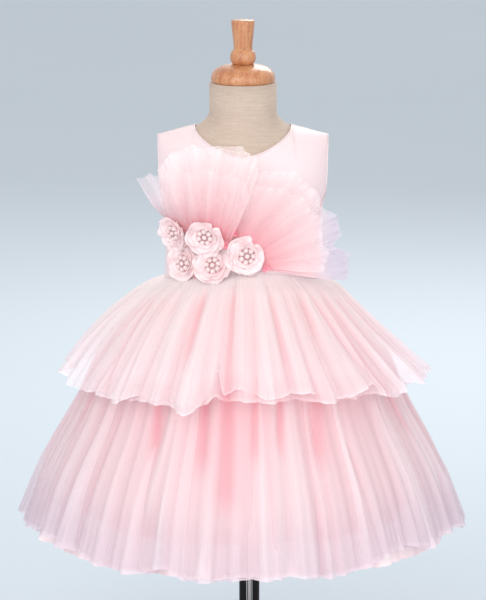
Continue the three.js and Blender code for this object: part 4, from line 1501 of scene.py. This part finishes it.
@dataclass
class Fans:
    """The four fan layers on the front of the bodice."""

    finishes: Finishes
    cut: BodiceCut = field(default_factory=BodiceCut)
    second_sink: float = 0.0016

    def _fans(self) -> list:
        """The fans with their base lines and edges, clockwise as seen from the front."""
        # Each fan's lavender value paints shade on its outer lobes, and its pleat value paints shade and
        # highlight across the pleats.
        right_back = Fan(
            "fan_right_back",
            ((-0.003, 0.605), (0.029, 0.563)),
            (
                (0.012, 0.679), (0.032, 0.685), (0.052, 0.685), (0.07, 0.675), (0.084, 0.66), (0.098, 0.637),
                (0.113, 0.622), (0.117, 0.603), (0.11, 0.59), (0.125, 0.579), (0.129, 0.562), (0.126, 0.545),
            ),
            0.0022, 0.008, 11, 0.003, tint_and_shade=0.56, lavender_shade=0.75, lobes=5.0, glow=0.45,
            glow_width=0.7, heart=0.25, painted_pleat_shade=0.2, rim=0.04, sheer=0.16, seed=1.0,
        )
        right_front = Fan(
            "fan_right_front",
            ((-0.01, 0.605), (0.026, 0.566)),
            (
                (0.0, 0.666), (0.023, 0.67), (0.047, 0.664), (0.066, 0.656), (0.08, 0.64), (0.093, 0.622),
                (0.096, 0.6), (0.101, 0.58), (0.097, 0.561),
            ),
            0.0041, 0.018, 9, 0.0035, tint_and_shade=0.7, lavender_shade=0.3, lobes=3.6, glow=0.45,
            glow_width=0.7, heart=0.3, painted_pleat_shade=0.25, rim=0.04, sheer=0.2, seed=2.2,
        )
        left_back = Fan(
            "fan_left_back",
            ((-0.078, 0.609), (-0.013, 0.6)),
            (
                (-0.103, 0.683), (-0.093, 0.699), (-0.073, 0.711), (-0.054, 0.715), (-0.035, 0.714),
                (-0.017, 0.717), (0.001, 0.712), (0.013, 0.704), (0.019, 0.688),
            ),
            0.0022, 0.0165, 12, 0.0045, tint_and_shade=0.35, lavender_shade=0.2, lobes=4.4,
            glow=0.6, glow_width=0.35, rim=0.16, sheer=0.12, seed=3.1,
        )
        left_front = Fan(
            "fan_left_front",
            ((-0.09, 0.609), (-0.016, 0.597)),
            (
                (-0.129, 0.672), (-0.114, 0.679), (-0.097, 0.681), (-0.079, 0.687), (-0.062, 0.684),
                (-0.045, 0.69), (-0.028, 0.685), (-0.012, 0.683), (0.002, 0.673), (0.008, 0.658),
            ),
            0.0042, 0.029, 10, 0.005, tint_and_shade=0.42, lavender_shade=0.3, lobes=5.4,
            glow=0.68, glow_width=0.33, rim=0.05, sheer=0.24, seed=4.0,
        )
        return [right_back, right_front, left_back, left_front]

    def build(self) -> None:
        """Makes each fan as an outer layer and a second one behind it."""
        for fan in self._fans():
            outer = cloth(fan.name + "_net", *fan.form(self.cut, 0.0, 0.0, 0.0))
            dress_piece(outer, self.finishes.net_fan, (fan.name,))
            inner = replace(fan, lobes=fan.lobes + 1.3, seed=fan.seed + 2.0, rim=fan.rim * 0.6)
            second = cloth(fan.name + "_second_net", *inner.form(self.cut, self.second_sink, 0.035, 0.5))
            dress_piece(second, self.finishes.net_fan, ())
            for piece in (outer, second):
                area = sum_area(piece)
                LOG.info("%s: area %.4f m2", piece.name, area)


@dataclass(frozen=True)
class Petal:
    """A long petal: its direction in degrees from the right, its reach and its curl."""

    turn: float
    reach: float
    curl: float


@dataclass(frozen=True)
class Flower:
    """Where a flower sits: its place on the bodice, how far it stands off, and its turns in degrees."""

    name: str
    x: float
    z: float
    off: float
    yaw: float
    pitch: float
    roll: float
    long_petals: tuple = ()

    def place(self, cut: BodiceCut) -> Matrix:
        """The flower's own frame, with its open side along +Z, in the row frame."""
        spot = Matrix.Translation((self.x, -cut.depth(self.x, self.z, True), self.z))
        tip = Matrix.Rotation(math.radians(90 + self.pitch), 4, "X")
        turn = Matrix.Rotation(math.radians(self.yaw), 4, "Z") @ tip
        head = Matrix.Translation((0, 0, self.off)) @ Matrix.Rotation(math.radians(self.roll), 4, "Z")
        return spot @ turn @ head


@dataclass(frozen=True)
class Tuck:
    """A place where the net is caught down: where it is, how far it stands off, its turn and its size."""

    x: float
    z: float
    off: float
    turn: float
    size: float


@dataclass(frozen=True)
class BeadRing:
    """Beads set round a ring, with one in the middle where it is wanted."""

    segments: int = 3

    def tree(self, finish: bpy.types.Material) -> bpy.types.NodeTree:
        """Builds the tree, which puts an icosphere on each point of the line that it is given."""
        made = Tree("bead_ring_" + finish.name)
        radius = made.size("Radius", "NodeSocketFloat", 0.003)
        bead = made.node(
            "GeometryNodeMeshIcoSphere", None, {"Radius": made.read(radius), "Subdivisions": self.segments}
        )
        placed = made.node(
            "GeometryNodeInstanceOnPoints",
            None,
            {"Points": made.read("Geometry"), "Instance": bead.outputs[0]},
        )
        return made.close(placed.outputs[0], finish)


@dataclass
class Flowers:
    """Five chiffon flowers, each with a pearl cluster."""

    finishes: Finishes
    cut: BodiceCut = field(default_factory=BodiceCut)
    reach: float = 0.0215
    cup: float = 0.005
    net: float = 0.0012
    pearl: float = 0.00315
    ring: float = 0.0073
    pearls: int = 7
    seat: float = 0.0011
    back: float = 0.0016
    seed_bead: float = 0.0009
    chiffon: float = 0.0003
    curve: float = 0.1
    tucks: tuple = (
        Tuck(-0.019, 0.5955, 0.0075, 80, 0.0052), Tuck(-0.009, 0.61, 0.006, 60, 0.004),
        Tuck(-0.021, 0.562, 0.005, 5, 0.006), Tuck(0.026, 0.566, 0.007, 10, 0.0055),
        Tuck(-0.06, 0.596, 0.0065, 70, 0.0045), Tuck(-0.054, 0.556, 0.003, 60, 0.004),
    )

    def _places(self) -> list:
        """The flowers, from the bodice's side to its middle."""
        return [
            Flower(
                "flower_1", -0.078, 0.607, 0.0059, -47, 12, 10,
                (Petal(-80, 0.0265, 0.004), Petal(-120, 0.0255, 0.004), Petal(-28, 0.023, 0.0065)),
            ),
            Flower(
                "flower_2", -0.043, 0.607, 0.0076, -18, 12, 40,
                (
                    Petal(-62, 0.0265, 0.003), Petal(-105, 0.0265, 0.0035), Petal(-150, 0.025, 0.003),
                    Petal(-15, 0.0255, 0.004), Petal(172, 0.024, 0.007),
                ),
            ),
            Flower(
                "flower_3", -0.071, 0.567, -0.0002, -41, -6, 64,
                (
                    Petal(28, 0.0255, 0.008), Petal(150, 0.0245, 0.004), Petal(-160, 0.0245, 0.003),
                    Petal(75, 0.026, 0.003),
                ),
            ),
            Flower(
                "flower_4", -0.035, 0.565, 0.0046, -15, -27, 22,
                (
                    Petal(14, 0.0265, 0.0095), Petal(48, 0.027, 0.006), Petal(-72, 0.024, 0.003),
                    Petal(-128, 0.025, 0.003), Petal(170, 0.0255, 0.003),
                ),
            ),
            Flower(
                "flower_5", 0.004, 0.582, 0.0041, 6, 0, 0,
                (
                    Petal(128, 0.0275, 0.004), Petal(160, 0.026, 0.004), Petal(-158, 0.0265, 0.003),
                    Petal(-100, 0.0245, 0.0025),
                ),
            ),
        ]

    def _petal(self, turn: float, size: float, cup: float, curl: float, seed: float) -> tuple:
        """One petal as a grid in the flower's own frame.

        Args:
            turn: its direction, in radians.
            size: its reach, in metres.
            cup: how far it rises on its way out.
            curl: how far its rim curls.
            seed: what makes it unlike the others.

        Returns:
            The grid of points, and the values by name.
        """
        side = np.linspace(-1, 1, 17)[:, None]
        out = np.linspace(0.06, 1, 15)[None, :]
        width = 0.68 * size * (0.2 + 0.8 * np.sin(math.pi * (0.08 + 0.66 * out)))
        along = size * out * (1 - 0.26 * side**2 * out**2 + 0.05 * np.cos(3 * side + seed) * out**3)
        across = side * width
        lift = cup * out**2 + curl * out**3 * (0.5 + 0.5 * np.abs(side) ** 1.5)
        ruffle = 0.0011 * np.sin(4.5 * side + seed) * out**3 + 0.0005 * np.sin(11 * side + 2 * seed) * out**4
        trough = -0.0012 * (1 - side**2) * np.sin(math.pi * out)
        x = along * math.cos(turn) - across * math.sin(turn)
        y = along * math.sin(turn) + across * math.cos(turn)
        z = self.net + lift + ruffle + trough + 0.0008
        tint_and_shade = 0.7 * np.exp(-out / 0.3) + 0.06 + 0.1 * math.sin(seed) ** 2 + 0 * side
        points = np.stack([x, y, z], -1)
        return points, {"tint_and_shade": tint_and_shade, "dense": 0.3 * smoothstep(0.3, 0.95, out) + 0 * side}

    def _petals(self, flower: Flower, number: int) -> bpy.types.Object:
        """Makes a flower's petals as one piece: five wide ones, the long ones, and four small ones above."""
        parts = []
        for k in range(5):
            seed = 1.7 * k + 2.3 * number
            size = self.reach * (0.95 + 0.13 * math.sin(2.1 * seed))
            curl = 0.0012 + 0.0046 * math.sin(1.3 * seed) ** 2
            parts.append(self._petal(FULL_TURN * k / 5, size, self.cup * 0.8, curl, seed))
        for k, petal in enumerate(flower.long_petals):
            turn = math.radians(petal.turn - flower.roll)
            parts.append(self._petal(turn, petal.reach, self.cup * 0.45, petal.curl, 4.1 * k + number))
        for k in range(4):
            seed = 2.9 * k + 1.1 * number + 5
            size = self.reach * (0.66 + 0.08 * math.sin(seed))
            parts.append(self._petal(FULL_TURN * (k + 0.5) / 4 + 0.3, size, self.cup * 1.1, 0.003, seed))
        pieces = [cloth(f"{flower.name}_petal_{k}", *part) for k, part in enumerate(parts)]
        piece = joined(pieces, flower.name + "_petals")
        piece.data.transform(flower.place(self.cut))
        thicken(piece, self.chiffon, 0.0)
        return piece

    def _tucks(self) -> None:
        """Makes the small deep-pink tucks where the net is caught down between the flowers."""
        pieces = []
        for number, tuck in enumerate(self.tucks):
            size = tuck.size
            yaw = math.degrees(math.asin(tuck.x / self.curve))
            spot = Flower("tuck", tuck.x, tuck.z, tuck.off, yaw, 0, tuck.turn).place(self.cut)
            for k, way in enumerate((0.0, 0.5, 2.7, 3.5)):
                points, values = self._petal(way, size, 0.35 * size, 0.1 * size, 1.3 * k + number)
                piece = cloth(f"tuck_{number}_{k}", points, values)
                piece.data.transform(spot)
                pieces.append(piece)
        piece = joined(pieces, "fan_tucks")
        thicken(piece, self.chiffon, 0.0)
        dress_piece(piece, self.finishes.tuck, ())

    def _beads(self, flower: Flower, trees: dict) -> None:
        """Makes a flower's pearls and the tiny beads between them."""
        base = flower.place(self.cut) @ Matrix.Translation((0, 0, self.net + self.seat))
        turns = [FULL_TURN * k / self.pearls for k in range(self.pearls)]
        ring = [(self.ring * math.cos(t), self.ring * math.sin(t), self.pearl + 0.0002) for t in turns]
        spots = [*ring, (0.0, 0.0, self.pearl + 0.0009)]
        pearls = grown(flower.name + "_pearls_nacre", spots, trees["pearl"], {"Radius": self.pearl}, base)
        disc = bpy.data.meshes.new(flower.name + "_disc")
        work = bmesh.new()
        bmesh.ops.create_cone(
            work, cap_ends=True, segments=28, radius1=self.ring - 0.001, radius2=self.ring, depth=self.back
        )
        bmesh.ops.translate(work, verts=work.verts, vec=(0, 0, self.back / 2))
        work.to_mesh(disc)
        work.free()
        disc.transform(base)
        disc.materials.append(self.finishes.petal)
        plate = bpy.data.objects.new(flower.name + "_disc", disc)
        bpy.context.scene.collection.objects.link(plate)
        pearls = joined([pearls, plate], flower.name + "_pearls_nacre")
        dress_piece(pearls, self.finishes.pearl, (flower.name + "_pearls",))
        tiny = []
        for k in range(self.pearls):
            t = FULL_TURN * (k + 0.5) / self.pearls
            for reach, height in ((0.55, 0.0042), (1.32, 0.0026)):
                tiny.append((reach * self.ring * math.cos(t), reach * self.ring * math.sin(t), height))
        seeds = grown(flower.name + "_seed_beads", tiny, trees["seed"], {"Radius": self.seed_bead}, base)
        dress_piece(seeds, self.finishes.seed, ())

    def build(self) -> None:
        """Makes the five flowers."""
        trees = {
            "pearl": BeadRing(3).tree(self.finishes.pearl),
            "seed": BeadRing(2).tree(self.finishes.seed),
        }
        for number, flower in enumerate(self._places()):
            petals = self._petals(flower, number)
            dress_piece(petals, self.finishes.petal, (flower.name,))
            area = sum_area(petals)
            LOG.info("%s: area %.5f m2", petals.name, area)
            self._beads(flower, trees)
        self._tucks()


def joined(pieces: list, name: str) -> bpy.types.Object:
    """Joins several mesh objects into the first one, under a new name."""
    with bpy.context.temp_override(active_object=pieces[0], selected_editable_objects=pieces):
        bpy.ops.object.join()
    pieces[0].name = name
    pieces[0].data.name = name
    return pieces[0]


@dataclass
class DressForm:
    """The limbless form under the dress: its linen body and neck, and the turned cap and knob."""

    finishes: Finishes
    cut: BodiceCut = field(default_factory=BodiceCut)
    columns: int = 26
    rows: int = 26
    waist_inset: float = 0.009
    shoulder_inset: float = 0.0023
    armhole_ease: float = 0.0012
    armhole_ease_share: float = 0.06
    hips_z: tuple = (0.396, 0.4, 0.43, 0.48)
    hips_side: tuple = (0.078, 0.087, 0.095, 0.091)
    hips_front: tuple = (0.054, 0.063, 0.07, 0.07)
    hips_back: tuple = (0.052, 0.059, 0.065, 0.059)
    hip_rows: int = 14
    neck_rows: int = 12
    neck_base_z: float = 0.752
    neck_top_z: float = 0.784
    neck_radius: float = 0.0415
    neck_power: float = 2.3
    cap: tuple = (
        (0.0, 0.7843), (0.0372, 0.7843), (0.0391, 0.7862), (0.0394, 0.7905), (0.0378, 0.796),
        (0.0325, 0.8015),
        (0.024, 0.805), (0.0155, 0.8065), (0.0, 0.8065),
    )
    knob: tuple = (
        (0.0, 0.8068), (0.0126, 0.8068), (0.0153, 0.811), (0.0158, 0.816), (0.0146, 0.8215), (0.0118, 0.825),
        (0.0115, 0.829), (0.0124, 0.839), (0.0137, 0.85), (0.0144, 0.859), (0.0139, 0.8609), (0.0, 0.8612),
    )

    def _ease(self, share: float) -> float:
        """How much deeper than its shoulders the form's arm end lies."""
        past = max(0.0, share - self.cut.shoulder_share) / self.armhole_ease_share
        return self.armhole_ease * float(smoothstep(0, 1, np.array(past)))

    def _inset(self, share: float, row: int, front: bool) -> Vector:
        """A point of the form under the bodice: the bodice's own, moved in along its normal."""
        up = row / self.rows
        spot = self.cut.point(share, up, front)
        soft = float(smoothstep(0, 1, np.array(up / self.cut.chest_share)))
        inset = self.waist_inset + (self.shoulder_inset + self._ease(share) - self.waist_inset) * soft
        step_up = 1e-3 if up < 0.5 else -1e-3
        step_side = 1e-3 if share < 0.5 else -1e-3
        along = (self.cut.point(share, up + step_up, front) - spot) * math.copysign(1, step_up)
        aside = (self.cut.point(share + step_side, up, front) - spot) * math.copysign(1, step_side)
        inward = aside.cross(along).normalized()
        if inward.x * spot.x + inward.y * spot.y > 0:
            inward.negate()
        spot = spot + inward * inset
        if share == 0:
            spot.x = 0
        if share == 1 or (row == self.rows and self.cut.neck_share <= share <= self.cut.shoulder_share):
            spot.y = 0
        return spot

    def _column(self, share: float, front: bool) -> list:
        """A column of the body from the hips to the top edge, and on up the neck where there is one."""
        angle = share * math.pi / 2
        lower = self._inset(share, 0, front)
        heights = np.linspace(self.hips_z[0], lower.z, self.hip_rows, endpoint=False)
        keys = (*self.hips_z, lower.z)
        deep_row = self.hips_front if front else self.hips_back
        waist_side = self.cut.sides[0] - self.waist_inset
        waist_deep = (self.cut.fronts[0] if front else self.cut.backs[0]) - self.waist_inset
        sides = through(keys, (*self.hips_side, waist_side), heights)
        deeps = through(keys, (*deep_row, waist_deep), heights)
        hips = zip(sides, deeps, heights)
        column = [Vector((s * math.sin(angle), d * math.cos(angle), z)) for s, d, z in hips]
        column += [self._inset(share, row, front) for row in range(self.rows + 1)]
        if share > self.cut.neck_share:
            return column
        edge = column[-1]
        turn = share / self.cut.neck_share * math.pi / 2
        ring = Vector((self.neck_radius * math.sin(turn), self.neck_radius * math.cos(turn), 0))
        for rise in np.linspace(0, 1, self.neck_rows + 1)[1:]:
            spot = ring.lerp(edge, (1 - rise) ** self.neck_power)
            spot.z = edge.z + (self.neck_base_z - edge.z) * rise
            column.append(spot)
        column.append(Vector((ring.x, ring.y, self.neck_top_z)))
        return column

    def body(self) -> None:
        """Makes the linen body from four quarters."""
        points, faces = [], []

        def spot(place: Vector) -> int:
            """Keeps a point and returns its number."""
            points.append(tuple(place))
            return len(points) - 1

        def panel(corners: list, forward: int, hand: int) -> None:
            """Keeps a four-sided panel, turned so that it faces out."""
            placed = [spot(Vector((hand * c.x, forward * c.y, c.z))) for c in corners]
            faces.append(placed if hand * forward < 0 else placed[::-1])

        shares = self.cut.shares(self.columns)
        for front in (True, False):
            columns = [self._column(share, front) for share in shares]
            for hand in (-1, 1):
                forward = -1 if front else 1
                self._quarter(shares, columns, lambda c: panel(c, forward, hand))
        piece = mesh_object("form_body_linen", np.array(points), np.array(faces))
        work = bmesh.new()
        work.from_mesh(piece.data)
        bmesh.ops.remove_doubles(work, verts=work.verts, dist=2e-5)
        bmesh.ops.dissolve_degenerate(work, dist=1e-6, edges=work.edges)
        bmesh.ops.recalc_face_normals(work, faces=work.faces)
        layer = work.loops.layers.uv.new(CUT)
        for face in work.faces:
            for loop in face.loops:
                co = loop.vert.co
                loop[layer].uv = (math.atan2(co.x, -co.y) * 0.08, co.z)
        work.to_mesh(piece.data)
        work.free()
        dress_piece(piece, self.finishes.linen, ("form_body",))

    def _quarter(self, shares: list, columns: list, panel: object) -> None:
        """Covers one quarter of the body, its flat underside, its neck's top and its arm end."""
        floor = Vector((0, 0, self.hips_z[0]))
        crown = Vector((0, 0, self.neck_top_z))
        for i in range(len(columns) - 1):
            one, two = columns[i], columns[i + 1]
            for j in range(min(len(one), len(two)) - 1):
                panel([one[j], two[j], two[j + 1], one[j + 1]])
            panel([one[0], floor, floor, two[0]])
            if shares[i + 1] <= self.cut.neck_share + 1e-9:
                panel([two[-1], crown, crown, one[-1]])
            if shares[i] >= self.cut.shoulder_share - 1e-9:
                middle = [self._arm_middle(s, c) for s, c in ((shares[i], one), (shares[i + 1], two))]
                panel([one[-1], two[-1], middle[1], middle[0]])

    def _arm_middle(self, share: float, column: list) -> Vector:
        """The middle of the form's arm end, level with the armhole's edge."""
        if share == 1 or abs(share - self.cut.shoulder_share) < 1e-9:
            return column[-1]
        x, z = self.cut.top(share, True)
        return Vector((x - self.shoulder_inset - self._ease(share), 0, z))

    def turnings(self) -> None:
        """Makes the cap and the knob on the lathe."""
        for name, rows in (("form_cap", self.cap), ("form_knob", self.knob)):
            piece = lathe(name + "_wood", rows, 96, 0.0)
            dress_piece(piece, self.finishes.wood, (name,))

    def build(self) -> None:
        """Makes every piece of the form."""
        self.body()
        self.turnings()


def lathe(name: str, rows: tuple, segments: int, x: float, subdivide: int = 6) -> bpy.types.Object:
    """Turns a profile about an upright axis.

    Args:
        name: the piece's name.
        rows: radius and height of the profile, which starts and ends on the axis.
        segments: how many faces go round.
        x: where the axis stands.
        subdivide: how many steps each stretch of the profile gets.

    Returns:
        The closed piece.
    """
    wall = rows[1:-1]
    spots = np.arange(len(wall))
    at = np.linspace(0, len(wall) - 1, (len(wall) - 1) * subdivide + 1)
    radii = through(spots, [r for r, _ in wall], at)
    heights = through(spots, [z for _, z in wall], at)
    turns = np.linspace(0, FULL_TURN, segments, endpoint=False)
    count = len(at)
    ring = np.stack(
        [
            x + radii[None, :] * np.cos(turns)[:, None],
            radii[None, :] * np.sin(turns)[:, None],
            np.broadcast_to(heights, (segments, count)),
        ],
        -1,
    ).reshape(-1, 3)
    ends = np.array([(x, 0, rows[0][1]), (x, 0, rows[-1][1])])
    points = np.concatenate([ring, ends])
    low, high = len(ring), len(ring) + 1
    i = np.arange(segments)
    after = (i + 1) % segments
    quads = [
        np.stack([i * count + j, after * count + j, after * count + j + 1, i * count + j + 1], -1)
        for j in range(count - 1)
    ]
    mesh = bpy.data.meshes.new(name)
    caps = [(low, int(b * count), int(a * count)) for a, b in zip(i, after)]
    caps += [(high, int(a * count + count - 1), int(b * count + count - 1)) for a, b in zip(i, after)]
    mesh.from_pydata(points.tolist(), [], [*np.concatenate(quads).tolist(), *caps])
    for face in mesh.polygons:
        face.use_smooth = True
    mesh.update()
    work = bmesh.new()
    work.from_mesh(mesh)
    bmesh.ops.recalc_face_normals(work, faces=work.faces)
    work.to_mesh(mesh)
    work.free()
    piece = bpy.data.objects.new(name, mesh)
    bpy.context.scene.collection.objects.link(piece)
    return piece


@dataclass
class Stand:
    """The round base and the three upright poles."""

    finishes: Finishes
    shift: float = 0.008
    spacing: float = 0.0082
    side_radius: float = 0.0046
    middle_radius: float = 0.0032
    edge: float = 0.0004
    low: float = 0.0163
    high: float = 0.3957
    base: tuple = (
        (0.0, 0.0), (0.1292, 0.0), (0.13, 0.0008), (0.13, 0.0055), (0.1285, 0.0078), (0.126, 0.009),
        (0.05, 0.0099),
        (0.026, 0.0101), (0.0242, 0.0108), (0.0236, 0.0145), (0.022, 0.016), (0.0, 0.016),
    )

    def build(self) -> None:
        """Makes the stand."""
        piece = lathe("stand_base_metal", self.base, 120, self.shift, 4)
        dress_piece(piece, self.finishes.black, ("stand_base",))
        poles = (
            ("stand_pole_left", -self.spacing, self.side_radius, self.finishes.black, "black_metal"),
            ("stand_pole_middle", 0.0, self.middle_radius, self.finishes.steel, "pale_metal"),
            ("stand_pole_right", self.spacing, self.side_radius, self.finishes.black, "black_metal"),
        )
        for name, aside, radius, finish, slot in poles:
            rows = (
                (0.0, self.low), (radius - self.edge, self.low), (radius, self.low + self.edge),
                (radius, self.high - self.edge), (radius - self.edge, self.high), (0.0, self.high),
            )
            pole = lathe(name + "_metal", rows, 40, self.shift + aside, 1)
            dress_piece(pole, finish, (name,))


@dataclass
class Studio:
    """The plain pale floor, soft light and the camera at the photograph's angle."""

    distance: float = 4.1808
    elevation: float = 11.3
    target: float = 0.5106
    lens: float = 201.0
    floor_size: float = 60.0
    floor_colour: tuple = rgb("c3ced6")
    sky: tuple = rgb("f3f4f6")
    sky_strength: float = 0.95

    def camera(self) -> None:
        """Makes the camera."""
        lens = bpy.data.cameras.new("camera")
        lens.lens = self.lens
        lens.clip_end = 100
        eye = bpy.data.objects.new("camera", lens)
        tilt = math.radians(self.elevation)
        eye.location = (0, -self.distance * math.cos(tilt), self.target + self.distance * math.sin(tilt))
        eye.rotation_euler = Euler((math.pi / 2 - tilt, 0, 0))
        bpy.context.scene.collection.objects.link(eye)
        bpy.context.scene.camera = eye

    def _softbox(self, name: str, place: tuple, size: float, power: float) -> None:
        """Adds a square area light that faces the dress."""
        light = bpy.data.lights.new(name, "AREA")
        light.size = size
        light.energy = power
        lamp = bpy.data.objects.new(name, light)
        lamp.location = place
        aim = Vector((0, 0, self.target)) - Vector(place)
        lamp.rotation_euler = aim.to_track_quat("-Z", "Y").to_euler()
        bpy.context.scene.collection.objects.link(lamp)

    def build(self) -> None:
        """Makes the floor, the light and the picture's settings."""
        half = self.floor_size / 2
        corners = np.array([(-half, -half, 0), (half, -half, 0), (half, half, 0), (-half, half, 0)])
        floor = mesh_object("floor", corners, np.array([[0, 1, 2, 3]]))
        shader = Shader("studio_floor")
        cloud = shader.noise(shader.place(1, 1, 1), 0.4, 2.0)
        floor.data.materials.append(
            shader.finish(Base_Color=shader.mix(cloud * 0.2, self.floor_colour, self.sky), Roughness=0.9)
        )
        world = bpy.data.worlds.new("studio")
        world.use_nodes = True
        background = world.node_tree.nodes["Background"]
        background.inputs["Color"].default_value = self.sky
        background.inputs["Strength"].default_value = self.sky_strength
        bpy.context.scene.world = world
        self._softbox("key", (-1.2, -2.9, 1.9), 2.2, 46.0)
        self._softbox("fill", (1.7, -2.9, 1.1), 2.2, 28.0)
        self._softbox("rim", (0.6, 2.4, 2.2), 1.6, 34.0)
        scene = bpy.context.scene
        scene.view_settings.view_transform = "Standard"
        scene.cycles.transparent_max_bounces = 48
        scene.cycles.use_denoising = True


def main() -> None:
    """Builds the studio, the dress and its form."""
    logging.basicConfig(level=logging.INFO, format="%(message)s")
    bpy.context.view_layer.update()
    studio = Studio()
    studio.camera()
    studio.build()
    finishes = Finishes()
    DressForm(finishes).build()
    Stand(finishes).build()
    Bodice(finishes).build()
    Skirt(finishes).build()
    Fans(finishes).build()
    Flowers(finishes).build()
    bpy.context.view_layer.update()


if __name__ == "__main__":
    main()
